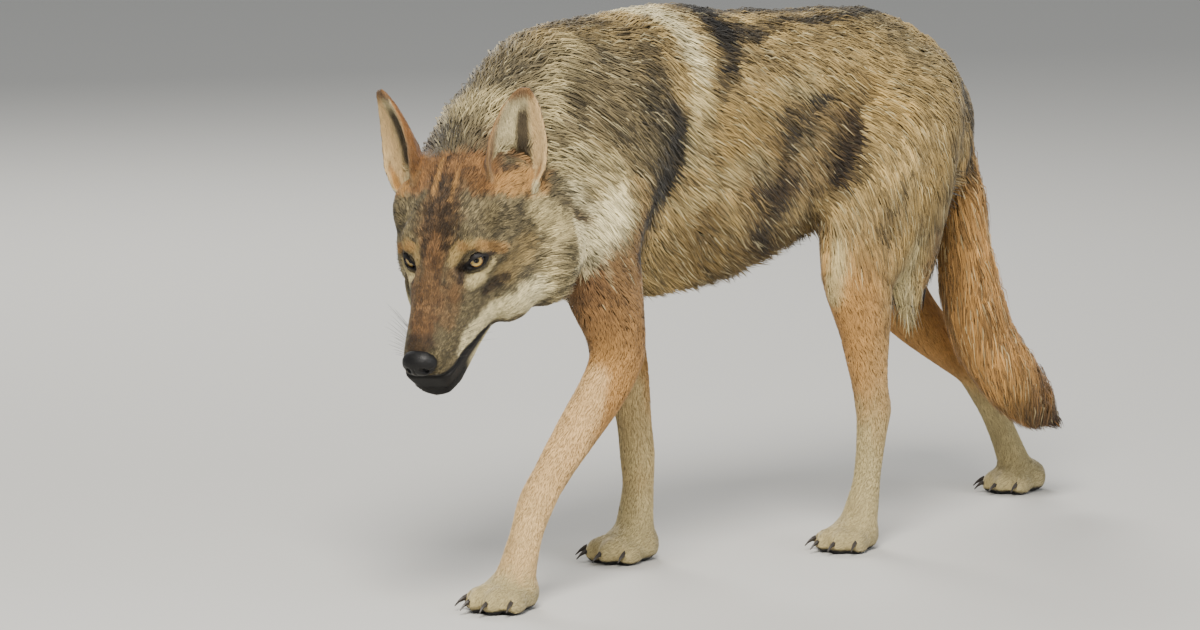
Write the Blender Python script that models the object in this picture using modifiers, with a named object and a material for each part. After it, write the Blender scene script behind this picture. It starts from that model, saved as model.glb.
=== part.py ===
"""A life-size grey wolf in summer coat, walking with its head low, as a museum shows it.

Metres, +Z up. The wolf faces +X, its left side is +Y, and the floor is z = 0.
The body is lofted from its bones' lines, blended into one form, then parted with thin cuts.
"""
import math

import bmesh
import bpy
from mathutils import Matrix, Vector
from mathutils.geometry import interpolate_bezier

# ---- driving dimensions -------------------------------------------------
GAP = 0.0004            # between two touching pieces
BLEND_VOXEL = 0.0042    # grid that melts the lofts into one body
BLEND_PASSES = 7        # smoothing that softens where two lofts meet
BODY_TRIANGLES = 4180
TAIL_TRIANGLES = 340

HEAD_AT = Vector((0.531, 0.059, 0.4175))      # midway between the eyeballs
HEAD_YAW, HEAD_PITCH, HEAD_ROLL = 21.8, -46.0, 5.0
EYE_RADIUS = 0.0118
EYE_AT = Vector((-0.0060, 0.0405, -0.0010))  # left eyeball, in the head's frame
ORBIT_AT = Vector((0.0060, 0.0490, 0.0070))
ORBIT_RADII = (0.0180, 0.0100, 0.0100)       # along the lids, across them, deep
EAR_WALL = 0.0050
EAR_OUTLINE = [         # height up the ear, half width, degrees of curl
    (-0.22, 0.020, 128), (0.00, 0.029, 118), (0.20, 0.0345, 102), (0.40, 0.0350, 84),
    (0.60, 0.0300, 70), (0.80, 0.0215, 60), (0.93, 0.0130, 55), (1.00, 0.0065, 52),
]
CLAW_LENGTH, CLAW_RADIUS = 0.0165, 0.0044

# ---- materials: colour, roughness ---------------------------------------
FINISHES = {
    "coat_grey": ((0.36, 0.31, 0.24), 0.85),
    "coat_tan": ((0.50, 0.33, 0.19), 0.85),
    "coat_rust": ((0.45, 0.25, 0.13), 0.85),
    "nose_leather": ((0.02, 0.018, 0.017), 0.35),
    "eye_amber": ((0.62, 0.44, 0.14), 0.08),
    "claw_horn": ((0.05, 0.04, 0.035), 0.45),
}


def clear_scene():
    for old in list(bpy.data.objects):
        bpy.data.objects.remove(old, do_unlink=True)


def make_materials():
    made = {}
    for name, (colour, roughness) in FINISHES.items():
        material = bpy.data.materials.new(name)
        material.use_nodes = True
        shader = material.node_tree.nodes["Principled BSDF"]
        shader.inputs["Base Color"].default_value = (*colour, 1.0)
        shader.inputs["Roughness"].default_value = roughness
        shader.inputs["Metallic"].default_value = 0.0
        made[name] = material
    return made


def head_frame():
    """The head's own axes: X towards the nose, Y to its left, Z out of its crown."""
    turn = (Matrix.Rotation(math.radians(HEAD_YAW), 4, "Z")
            @ Matrix.Rotation(math.radians(-HEAD_PITCH), 4, "Y")
            @ Matrix.Rotation(math.radians(HEAD_ROLL), 4, "X"))
    return Matrix.Translation(HEAD_AT) @ turn


# ---- modelling helpers --------------------------------------------------
def smooth_between(stations, steps):
    """Catmull-Rom through rows of numbers, so a few stations give a flowing form."""
    rows = []
    last = len(stations) - 1
    for i in range(last):
        before = stations[max(i - 1, 0)]
        start, end = stations[i], stations[i + 1]
        after = stations[min(i + 2, last)]
        for k in range(steps):
            t = k / steps
            rows.append([
                0.5 * (2 * b + (c - a) * t + (2 * a - 5 * b + 4 * c - d) * t * t
                       + (3 * b - a - 3 * c + d) * t ** 3)
                for a, b, c, d in zip(before, start, end, after)
            ])
    rows.append(list(stations[-1]))
    return rows


def mesh_object(name, bm, collection):
    bmesh.ops.recalc_face_normals(bm, faces=bm.faces)
    mesh = bpy.data.meshes.new(name)
    bm.to_mesh(mesh)
    bm.free()
    obj = bpy.data.objects.new(name, mesh)
    collection.objects.link(obj)
    return obj


def skin_rings(name, rings, collection):
    """Joins rings of equal count into one closed tube with flat ends."""
    bm = bmesh.new()
    loops = [[bm.verts.new(p) for p in ring] for ring in rings]
    count = len(rings[0])
    for low, high in zip(loops, loops[1:]):
        for k in range(count):
            bm.faces.new((low[k], low[(k + 1) % count], high[(k + 1) % count], high[k]))
    bm.faces.new(loops[0])
    bm.faces.new(loops[-1])
    return mesh_object(name, bm, collection)


def loft_limb(name, stations, collection, upright=False, steps=4, ring=20, square=2.0):
    """A tube through (x, y, z, half width across, half depth) stations.

    Sections stand square to the path, or stay vertical when upright is set.
    """
    rows = smooth_between(stations, steps)
    centres = [Vector(row[:3]) for row in rows]
    rings = []
    for i, row in enumerate(rows):
        along = (centres[min(i + 1, len(rows) - 1)] - centres[max(i - 1, 0)]).normalized()
        if upright:
            along = Vector((1, 0, 0))
        deep = along.cross(Vector((0, 1, 0))).normalized()
        across = deep.cross(along).normalized()
        points = []
        for k in range(ring):
            angle = 2 * math.pi * k / ring
            c, s = math.cos(angle), math.sin(angle)
            side = math.copysign(abs(s) ** (2 / square), s) * row[3]
            rise = math.copysign(abs(c) ** (2 / square), c) * row[4]
            points.append(centres[i] + across * side + deep * rise)
        rings.append(points)
    return skin_rings(name, rings, collection)


def loft_head(name, sections, frame, collection, steps=3, ring=24):
    """A tube along the head's X through (x, top, bottom, upper half width, lower half width)."""
    rings = []
    for x, top, bottom, upper, lower in smooth_between(sections, steps):
        middle, half = (top + bottom) / 2, (top - bottom) / 2
        points = []
        for k in range(ring):
            angle = 2 * math.pi * k / ring
            c, s = math.cos(angle), math.sin(angle)
            share = (1 + c) / 2
            width = lower + (upper - lower) * share
            side = math.copysign(abs(s) ** 0.86, s) * width
            points.append(frame @ Vector((x, side, middle + half * c)))
        rings.append(points)
    return skin_rings(name, rings, collection)


def ball(name, matrix, radii, collection, segments=24, rings=16):
    """An ellipsoid of the given radii, placed by a matrix."""
    bm = bmesh.new()
    bmesh.ops.create_uvsphere(bm, u_segments=segments, v_segments=rings, radius=1.0)
    bm.transform(matrix @ Matrix.Diagonal((*radii, 1.0)))
    return mesh_object(name, bm, collection)


def evaluated_copy(obj, name, collection):
    graph = bpy.context.evaluated_depsgraph_get()
    mesh = bpy.data.meshes.new_from_object(obj.evaluated_get(graph))
    mesh.transform(obj.matrix_world)
    copy = bpy.data.objects.new(name, mesh)
    collection.objects.link(copy)
    return copy


def triangle_count(mesh):
    mesh.calc_loop_triangles()
    return len(mesh.loop_triangles)


def melt_together(name, forms, hollows, collection, voxel, passes, triangles):
    """One smooth closed body from overlapping forms: joined, remeshed, hollowed, smoothed, thinned."""
    joined = bmesh.new()
    for form in forms:
        joined.from_mesh(form.data)
    whole = mesh_object(name + "_forms", joined, collection)
    grid = whole.modifiers.new("melt", "REMESH")
    grid.mode = "VOXEL"
    grid.voxel_size = voxel
    melted = evaluated_copy(whole, name + "_melted", collection)
    for hollow in hollows:
        boolean(melted, hollow, "DIFFERENCE")
    soften = melted.modifiers.new("soften", "SMOOTH")
    soften.factor = 0.5
    soften.iterations = passes
    soft = evaluated_copy(melted, name + "_soft", collection)
    thin = soft.modifiers.new("thin", "DECIMATE")
    thin.ratio = triangles / triangle_count(soft.data)
    body = evaluated_copy(soft, name, collection)
    for used in [*forms, *hollows, whole, melted, soft]:
        bpy.data.objects.remove(used, do_unlink=True)
    return body


def boolean(obj, cutter, operation):
    """Replaces obj's mesh with the result of cutting it by, or keeping it inside, the cutter."""
    step = obj.modifiers.new("cut", "BOOLEAN")
    step.operation = operation
    step.solver = "EXACT"
    step.object = cutter
    graph = bpy.context.evaluated_depsgraph_get()
    mesh = bpy.data.meshes.new_from_object(obj.evaluated_get(graph))
    obj.modifiers.remove(step)
    obj.data = mesh
    return obj


def inflated(obj, by, collection):
    """A copy of obj pushed out along its normals, for cutting a neighbour with a gap."""
    copy = evaluated_copy(obj, obj.name + "_room", collection)
    bm = bmesh.new()
    bm.from_mesh(copy.data)
    bm.normal_update()
    for vertex in bm.verts:
        vertex.co += vertex.normal * by
    bm.to_mesh(copy.data)
    bm.free()
    return copy


def plane_piece(obj, name, point, normal, keep_front, collection):
    """The part of obj on one side of a plane, capped flat, half a gap back from it."""
    normal = Vector(normal).normalized()
    shift = GAP / 2 if keep_front else -GAP / 2
    bm = bmesh.new()
    bm.from_mesh(obj.data)
    bmesh.ops.bisect_plane(
        bm, geom=[*bm.verts, *bm.edges, *bm.faces], dist=1e-6,
        plane_co=Vector(point) + normal * shift, plane_no=normal,
        clear_inner=keep_front, clear_outer=not keep_front)
    rim = [edge for edge in bm.edges if edge.is_boundary]
    bmesh.ops.holes_fill(bm, edges=rim, sides=0)
    return mesh_object(name, bm, collection)


def split_by_plane(obj, names, point, normal, collection):
    """Two capped pieces either side of a plane: (behind it, in front of it)."""
    behind = plane_piece(obj, names[0], point, normal, False, collection)
    front = plane_piece(obj, names[1], point, normal, True, collection)
    bpy.data.objects.remove(obj, do_unlink=True)
    return behind, front


def wedge(name, x_range, inner, outer, floor, collection, lean=0.0):
    """A long block whose sloping top runs from inner (y, z) to outer (y, z).

    Its front end moves by lean for each metre of height.
    """
    bm = bmesh.new()
    corners = (inner, outer, (outer[0], floor), (inner[0], floor))
    back, front = x_range
    rows = [[bm.verts.new((back, *corner)) for corner in corners],
            [bm.verts.new((front + lean * corner[1], *corner)) for corner in corners]]
    for k in range(4):
        bm.faces.new((rows[0][k], rows[0][(k + 1) % 4], rows[1][(k + 1) % 4], rows[1][k]))
    bm.faces.new(rows[0])
    bm.faces.new(rows[1])
    return mesh_object(name, bm, collection)


# ---- the forms of the body ----------------------------------------------
def trunk_forms(build):
    """Croup, loin, ribs and brisket, then the thick neck with its mane."""
    profile = [                    # x, top, bottom, half width
        (-0.425, 0.520, 0.470, 0.024),
        (-0.405, 0.555, 0.445, 0.046),
        (-0.370, 0.592, 0.425, 0.066),
        (-0.320, 0.629, 0.430, 0.080),
        (-0.255, 0.655, 0.445, 0.086),
        (-0.180, 0.665, 0.432, 0.086),
        (-0.100, 0.667, 0.393, 0.093),
        (0.000, 0.673, 0.360, 0.104),
        (0.080, 0.685, 0.345, 0.109),
        (0.160, 0.688, 0.339, 0.105),
        (0.240, 0.675, 0.345, 0.098),
        (0.310, 0.640, 0.368, 0.088),
        (0.360, 0.590, 0.410, 0.062),
    ]
    barrel = [(x, 0.0, (top + low) / 2, wide, (top - low) / 2)
              for x, top, low, wide in profile]
    neck = [
        (0.200, 0.000, 0.540, 0.092, 0.145),
        (0.290, 0.003, 0.524, 0.100, 0.156),
        (0.360, 0.014, 0.501, 0.104, 0.136),
        (0.412, 0.026, 0.479, 0.101, 0.116),
        (0.450, 0.036, 0.460, 0.093, 0.098),
        (0.482, 0.044, 0.444, 0.076, 0.078),
    ]
    return [
        loft_limb("barrel", barrel, build, upright=True, square=2.25),
        loft_limb("neck", neck, build),
    ]


# Each leg: (x, y, z, half width across, half depth) from the hip or shoulder down.
FRONT_LEFT = [
    (0.140, 0.040, 0.655, 0.030, 0.045),
    (0.205, 0.058, 0.590, 0.046, 0.074),
    (0.272, 0.073, 0.510, 0.050, 0.082),
    (0.305, 0.081, 0.435, 0.045, 0.068),
    (0.290, 0.085, 0.360, 0.038, 0.052),
    (0.271, 0.086, 0.300, 0.031, 0.038),
    (0.284, 0.085, 0.258, 0.0285, 0.033),
    (0.331, 0.083, 0.205, 0.0255, 0.0285),
    (0.380, 0.081, 0.150, 0.0220, 0.0230),
    (0.402, 0.080, 0.120, 0.0230, 0.0225),
    (0.418, 0.080, 0.085, 0.0205, 0.0195),
    (0.431, 0.080, 0.050, 0.0250, 0.0210),
    (0.440, 0.080, 0.024, 0.0270, 0.0200),
]
FRONT_RIGHT = [
    (0.130, -0.040, 0.655, 0.030, 0.045),
    (0.175, -0.058, 0.590, 0.046, 0.074),
    (0.215, -0.073, 0.510, 0.050, 0.080),
    (0.222, -0.081, 0.450, 0.045, 0.064),
    (0.172, -0.085, 0.390, 0.040, 0.050),
    (0.120, -0.085, 0.340, 0.033, 0.038),
    (0.104, -0.083, 0.295, 0.0285, 0.033),
    (0.090, -0.077, 0.225, 0.0250, 0.0280),
    (0.084, -0.071, 0.160, 0.0215, 0.0225),
    (0.083, -0.068, 0.130, 0.0230, 0.0225),
    (0.085, -0.064, 0.090, 0.0205, 0.0195),
    (0.092, -0.062, 0.050, 0.0250, 0.0210),
    (0.098, -0.060, 0.024, 0.0270, 0.0200),
]
HIND_LEFT = [
    (-0.305, 0.040, 0.590, 0.046, 0.060),
    (-0.272, 0.058, 0.530, 0.056, 0.092),
    (-0.220, 0.072, 0.462, 0.053, 0.106),
    (-0.172, 0.080, 0.400, 0.045, 0.090),
    (-0.148, 0.086, 0.340, 0.035, 0.060),
    (-0.155, 0.087, 0.285, 0.0270, 0.042),
    (-0.161, 0.087, 0.240, 0.0220, 0.033),
    (-0.168, 0.086, 0.200, 0.0195, 0.026),
    (-0.174, 0.085, 0.160, 0.0195, 0.0225),
    (-0.171, 0.083, 0.120, 0.0175, 0.0190),
    (-0.167, 0.081, 0.080, 0.0180, 0.0180),
    (-0.160, 0.080, 0.048, 0.0235, 0.0205),
    (-0.152, 0.080, 0.022, 0.0250, 0.0190),
]
HIND_RIGHT = [
    (-0.310, -0.040, 0.590, 0.046, 0.058),
    (-0.315, -0.058, 0.530, 0.055, 0.080),
    (-0.325, -0.070, 0.460, 0.050, 0.080),
    (-0.338, -0.078, 0.390, 0.043, 0.068),
    (-0.365, -0.082, 0.320, 0.036, 0.056),
    (-0.410, -0.082, 0.262, 0.0280, 0.042),
    (-0.470, -0.080, 0.212, 0.0215, 0.031),
    (-0.527, -0.077, 0.172, 0.0195, 0.0250),
    (-0.552, -0.076, 0.140, 0.0185, 0.0205),
    (-0.575, -0.075, 0.105, 0.0175, 0.0185),
    (-0.600, -0.074, 0.062, 0.0205, 0.0190),
    (-0.618, -0.073, 0.026, 0.0250, 0.0190),
]
# The long hair hanging behind each thigh.
FRINGES = {
    "left": [(-0.265, 0.070, 0.470, 0.030, 0.050), (-0.262, 0.078, 0.420, 0.026, 0.052),
             (-0.250, 0.083, 0.365, 0.022, 0.044), (-0.236, 0.084, 0.320, 0.018, 0.032),
             (-0.222, 0.085, 0.288, 0.010, 0.014)],
    "right": [(-0.370, -0.070, 0.450, 0.028, 0.045), (-0.388, -0.076, 0.400, 0.024, 0.046),
              (-0.402, -0.080, 0.350, 0.020, 0.038), (-0.410, -0.080, 0.310, 0.016, 0.026),
              (-0.414, -0.080, 0.285, 0.009, 0.012)],
}
# Each paw: (x of its centre, y, heading in degrees, size of a front paw = 1)
PAWS = {
    "front_left": (0.452, 0.080, 6.0, 1.00),
    "front_right": (0.112, -0.060, -4.0, 1.00),
    "hind_left": (-0.138, 0.080, 5.0, 0.92),
    "hind_right": (-0.616, -0.073, -6.0, 0.92),
}
TOES = [  # forward, sideways, half length, half width, height of its knuckle
    (0.014, 0.0285, 0.0230, 0.0115, 0.0160),
    (0.031, 0.0105, 0.0240, 0.0118, 0.0185),
    (0.031, -0.0105, 0.0240, 0.0118, 0.0185),
    (0.014, -0.0285, 0.0230, 0.0115, 0.0160),
]


def paw_matrix(paw):
    x, y, heading, size = PAWS[paw]
    return (Matrix.Translation((x, y, 0)) @ Matrix.Rotation(math.radians(heading), 4, "Z")
            @ Matrix.Scale(size, 4))


def paw_forms(build):
    """A pad of the foot and four arched toes under each leg."""
    forms = []
    for paw in PAWS:
        place = paw_matrix(paw)
        pad = place @ Matrix.Translation((-0.012, 0, 0.020))
        forms.append(ball(paw + "_pad", pad, (0.036, 0.033, 0.027), build, 16, 10))
        for number, (ahead, aside, length, width, knuckle) in enumerate(TOES):
            splay = Matrix.Rotation(math.atan2(aside, 0.085), 4, "Z")
            droop = Matrix.Rotation(math.radians(12), 4, "Y")
            at = place @ Matrix.Translation((ahead, aside, knuckle - 0.003)) @ splay @ droop
            forms.append(ball(f"{paw}_toe{number}", at, (length, width, knuckle), build, 14, 10))
    return forms


def leg_forms(build):
    legs = {"front_left": FRONT_LEFT, "front_right": FRONT_RIGHT,
            "hind_left": HIND_LEFT, "hind_right": HIND_RIGHT}
    forms = [loft_limb(name + "_leg", rows, build, steps=3) for name, rows in legs.items()]
    # the point of each elbow and hock stands proud behind its joint
    points = [((0.252, 0.086, 0.286), (0.022, 0.020, 0.030)),
              ((0.096, -0.085, 0.338), (0.024, 0.020, 0.030)),
              ((-0.191, 0.085, 0.172), (0.016, 0.0115, 0.027)),
              ((-0.552, -0.076, 0.176), (0.016, 0.0115, 0.025))]
    for k, (at, radii) in enumerate(points):
        forms.append(ball(f"joint{k}", Matrix.Translation(at), radii, build, 14, 10))
    for name, rows in FRINGES.items():
        forms.append(loft_limb(name + "_fringe", rows, build, steps=3, ring=14))
    return forms


# The head's own outline: (x, top, bottom, upper half width, lower half width)
SKULL = [
    (-0.150, 0.022, -0.095, 0.052, 0.070),
    (-0.125, 0.040, -0.115, 0.066, 0.086),
    (-0.095, 0.050, -0.122, 0.073, 0.090),
    (-0.060, 0.052, -0.120, 0.071, 0.088),
    (-0.028, 0.045, -0.115, 0.064, 0.080),
    (0.000, 0.031, -0.108, 0.053, 0.067),
    (0.025, 0.018, -0.100, 0.044, 0.055),
    (0.055, 0.007, -0.097, 0.036, 0.045),
    (0.090, -0.001, -0.094, 0.0320, 0.040),
    (0.116, -0.006, -0.091, 0.0285, 0.035),
    (0.133, -0.016, -0.084, 0.021, 0.026),
]


def head_forms(frame, build):
    forms = [loft_head("skull", SKULL, frame, build)]
    for side in (1, -1):
        def place(x, y, z, pitch=0.0, yaw=0.0):
            return (frame @ Matrix.Translation((x, y * side, z))
                    @ Matrix.Rotation(math.radians(yaw * side), 4, "Z")
                    @ Matrix.Rotation(math.radians(pitch), 4, "Y"))
        lumps = [
            ("brow", place(-0.020, 0.036, 0.026, 24, 20), (0.024, 0.015, 0.012)),
            ("cheekbone", place(-0.042, 0.058, -0.012, 0, -10), (0.048, 0.019, 0.026)),
            ("temple", place(-0.072, 0.062, 0.006, 0, -10), (0.040, 0.022, 0.032)),
            ("cheek", place(-0.035, 0.057, -0.070, 8, -8), (0.062, 0.030, 0.042)),
            ("ruff", place(-0.080, 0.068, -0.086, 14, -12), (0.070, 0.048, 0.056)),
            ("flew", place(0.098, 0.022, -0.048, 4, 4), (0.036, 0.0135, 0.019)),
        ]
        for name, at, radii in lumps:
            forms.append(ball(f"{name}{side}", at, radii, build, 16, 12))
    return forms


def orbit_hollows(frame, build):
    """Almond hollows slanting up and back, in which the eyeballs sit."""
    hollows = []
    for side in (1, -1):
        along = Vector((-0.50, 0.86 * side, -0.05)).normalized()
        out = Vector((0.66, 0.42 * side, 0.62))
        out = (out - along * out.dot(along)).normalized()
        across = out.cross(along)
        turn = Matrix((along, across, out)).transposed().to_4x4()
        at = Vector((ORBIT_AT.x, ORBIT_AT.y * side, ORBIT_AT.z))
        hollows.append(ball(f"orbit{side}", frame @ Matrix.Translation(at) @ turn,
                            ORBIT_RADII, build, 16, 10))
    return hollows


def tail_form(build):
    """The brush hangs behind the thighs and swings out at its end."""
    path = [
        (-0.360, 0.000, 0.590, 0.020, 0.020),
        (-0.385, 0.002, 0.550, 0.028, 0.027),
        (-0.400, 0.006, 0.480, 0.034, 0.033),
        (-0.412, 0.010, 0.390, 0.037, 0.036),
        (-0.426, 0.012, 0.300, 0.040, 0.039),
        (-0.456, 0.014, 0.228, 0.044, 0.044),
        (-0.507, 0.016, 0.168, 0.042, 0.041),
        (-0.556, 0.018, 0.129, 0.029, 0.030),
        (-0.594, 0.020, 0.106, 0.009, 0.009),
    ]
    return loft_limb("tail_brush", path, build, steps=3)


# ---- separate pieces of the head and feet -------------------------------
def make_ear(side, frame, material, collection):
    """A cupped, pointed ear: an open curved blade given a wall, its mouth forward and out."""
    name = "ear_left" if side > 0 else "ear_right"
    base = Vector((-0.104, 0.064 * side, 0.018))
    tip = Vector((-0.170, 0.098 * side, 0.107))
    axis = (tip - base).normalized()
    mouth = Vector((0.72, 0.50 * side, 0.36))
    mouth = (mouth - axis * mouth.dot(axis)).normalized()
    across = axis.cross(mouth)
    columns = 6
    bm = bmesh.new()
    grid = []
    for h, half, curl_degrees in smooth_between(EAR_OUTLINE, 1):
        curl = math.radians(curl_degrees)
        radius = half / math.sin(min(curl, math.pi / 2))
        line = []
        for k in range(columns + 1):
            angle = (2 * k / columns - 1) * curl
            point = (base + (tip - base) * h
                     + across * (radius * math.sin(angle))
                     + mouth * (radius * (0.42 - math.cos(angle)) * 0.75))
            line.append(bm.verts.new(frame @ point))
        grid.append(line)
    for low, high in zip(grid, grid[1:]):
        for k in range(columns):
            bm.faces.new((low[k], low[k + 1], high[k + 1], high[k]))
    blade = mesh_object(name + "_blade", bm, collection)
    wall = blade.modifiers.new("wall", "SOLIDIFY")
    wall.thickness = EAR_WALL
    wall.offset = 0.0
    ear = evaluated_copy(blade, name, collection)
    bpy.data.objects.remove(blade, do_unlink=True)
    ear.data.materials.clear()
    ear.data.materials.append(material)
    return ear


def make_nose(frame, material, collection):
    """The bare leather pad, with its front a little hollow at the nostrils."""
    pad = ball("nose", frame @ Matrix.Translation((0.127, 0, -0.024)),
               (0.0170, 0.0225, 0.0165), collection, 14, 8)
    for side in (1, -1):
        at = frame @ Matrix.Translation((0.1410, 0.0108 * side, -0.025))
        nostril = ball("nostril", at, (0.0075, 0.0038, 0.0045), collection, 8, 5)
        boolean(pad, nostril, "DIFFERENCE")
        bpy.data.objects.remove(nostril, do_unlink=True)
    pad.data.materials.clear()
    pad.data.materials.append(material)
    return pad


def make_eye(side, frame, material, collection):
    """An eyeball set into the skull, looking ahead and a little outwards."""
    name = "eye_left" if side > 0 else "eye_right"
    at = Vector((EYE_AT.x, EYE_AT.y * side, EYE_AT.z))
    eye = ball(name, frame @ Matrix.Translation(at), (EYE_RADIUS,) * 3, collection, 14, 9)
    eye.data.materials.append(material)
    return eye


def make_claws(material, collection):
    """A short curved horn on each toe, its tip clear of the floor."""
    claws = []
    for paw in PAWS:
        place = paw_matrix(paw)
        for number, (ahead, aside, length, width, knuckle) in enumerate(TOES, start=1):
            splay = Matrix.Rotation(math.atan2(aside, 0.085), 4, "Z")
            root = place @ Matrix.Translation((ahead, aside, 0.0)) @ splay
            rings = []
            for i in range(4):
                t = i / 3
                centre = Vector((length - 0.006 + CLAW_LENGTH * t, 0, 0.0155 - 0.0085 * t * t))
                radius = CLAW_RADIUS * (1 - 0.80 * t)
                rings.append([root @ (centre + Vector((0, 0.75 * radius * math.sin(a),
                                                       radius * math.cos(a))))
                              for a in (2 * math.pi * k / 5 for k in range(5))])
            claw = skin_rings(f"claw_{paw}_{number}", rings, collection)
            claw.data.materials.append(material)
            claws.append(claw)
    return claws


# ---- parting the body ---------------------------------------------------
# Each leg's block: x range, inner y and z, outer y and z, reach and height of its low toe.
LEG_BLOCKS = {
    "front_left": ((0.185, 0.385), (0.050, 0.322), (0.150, 0.520), (0.560, 0.235), 0.0),
    "front_right": ((0.055, 0.305), (0.050, 0.322), (0.150, 0.520), (0.290, 0.235), 0.0),
    "hind_left": ((-0.420, 0.170), (0.022, 0.380), (0.150, 0.610), None, -0.63),
    "hind_right": ((-0.720, -0.225), (0.022, 0.380), (0.150, 0.610), None, 0.0),
}
# Where a leg parts at elbow or knee and at wrist or hock: (x, z) and the way down it.
LEG_CUTS = {
    "front_left": (((0.285, 0.318), (0.10, -1.0)), ((0.400, 0.126), (0.50, -0.90))),
    "front_right": (((0.125, 0.345), (-0.50, -0.90)), ((0.083, 0.136), (-0.05, -1.0))),
    "hind_left": (((-0.150, 0.325), (0.58, -0.815)), ((-0.174, 0.170), (0.0, -1.0))),
    "hind_right": (((-0.368, 0.316), (-0.45, -0.90)), ((-0.545, 0.158), (-0.60, -0.80))),
}
LEG_NAMES = {"front": ("upper_arm", "forearm", "foot"), "hind": ("thigh", "shank", "foot")}
JAW = {"lip": ((0.150, -0.048), (0.088, -0.054), (0.036, -0.074)), "under": -0.160}


def part_off(body, name, block, collection):
    """Moves what lies inside the block to an object of its own, a gap away from the rest."""
    room = inflated(block, GAP, collection)
    piece = evaluated_copy(body, name, collection)
    boolean(piece, block, "INTERSECT")
    boolean(body, room, "DIFFERENCE")
    for used in (block, room):
        bpy.data.objects.remove(used, do_unlink=True)
    return piece


def leg_block(leg, collection):
    """A sloping block round the leg, with a low toe of its own if the foot reaches past it."""
    x_range, inner, outer, toe, lean = LEG_BLOCKS[leg]
    side = 1 if leg.endswith("left") else -1
    block = wedge(leg + "_block", x_range, (inner[0] * side, inner[1]),
                  (outer[0] * side, outer[1]), -0.05, collection, lean)
    if toe:
        low = wedge(leg + "_toe", (x_range[0] + 0.01, toe[0]), (0.01 * side, toe[1]),
                    (0.16 * side, toe[1]), -0.06, collection)
        boolean(block, low, "UNION")
        bpy.data.objects.remove(low, do_unlink=True)
    return block


def part_leg(body, leg, build):
    """Shoulder or thigh, lower leg and foot of one leg."""
    whole = part_off(body, leg, leg_block(leg, build), build)
    upper_name, lower_name, foot_name = (f"{leg}_{part}" for part in LEG_NAMES[leg.split("_")[0]])
    (high, high_way), (low, low_way) = LEG_CUTS[leg]
    upper, rest = split_by_plane(whole, (upper_name, leg + "_rest"), (high[0], 0, high[1]),
                                 (high_way[0], 0, high_way[1]), build)
    lower, foot = split_by_plane(rest, (lower_name, foot_name), (low[0], 0, low[1]),
                                 (low_way[0], 0, low_way[1]), build)
    return [upper, lower, foot]


def jaw_block(frame, collection):
    """A prism under the line of the lips, as wide as the muzzle."""
    lip, under = JAW["lip"], JAW["under"]
    outline = [*lip, (lip[-1][0], under), (lip[0][0], under)]
    rings = [[frame @ Vector((x, y, z)) for x, z in outline] for y in (-0.080, 0.080)]
    return skin_rings("jaw_block", rings, collection)


def flatten_soles(body):
    """The floor cuts every paw at one level."""
    bm = bmesh.new()
    bm.from_mesh(body.data)
    bmesh.ops.bisect_plane(bm, geom=[*bm.verts, *bm.edges, *bm.faces], dist=1e-6,
                           plane_co=(0, 0, 0), plane_no=(0, 0, 1), clear_inner=True)
    bmesh.ops.holes_fill(bm, edges=[e for e in bm.edges if e.is_boundary], sides=0)
    bm.to_mesh(body.data)
    bm.free()


def fit_against(piece, solid, collection):
    """Trims a piece back to a gap off the solid it grows from."""
    room = inflated(solid, GAP, collection)
    boolean(piece, room, "DIFFERENCE")
    bpy.data.objects.remove(room, do_unlink=True)


def largest_island(obj):
    """Drops crumbs a cut may leave."""
    bm = bmesh.new()
    bm.from_mesh(obj.data)
    seen, islands = set(), []
    for start in bm.verts:
        if start in seen:
            continue
        stack, island = [start], []
        seen.add(start)
        while stack:
            vertex = stack.pop()
            island.append(vertex)
            for edge in vertex.link_edges:
                other = edge.other_vert(vertex)
                if other not in seen:
                    seen.add(other)
                    stack.append(other)
        islands.append(island)
    islands.sort(key=len)
    for island in islands[:-1]:
        bmesh.ops.delete(bm, geom=island, context="VERTS")
    bm.to_mesh(obj.data)
    bm.free()


def centre_on_origin(objects):
    """Puts the middle of the whole wolf's box over the origin, the floor staying at z = 0."""
    corners = [obj.matrix_world @ v.co for obj in objects for v in obj.data.vertices]
    middle = Vector(((min(c.x for c in corners) + max(c.x for c in corners)) / 2,
                     (min(c.y for c in corners) + max(c.y for c in corners)) / 2, 0))
    for obj in objects:
        obj.data.transform(Matrix.Translation(-middle))
    print("moved by", [round(-m, 5) for m in middle])


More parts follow.
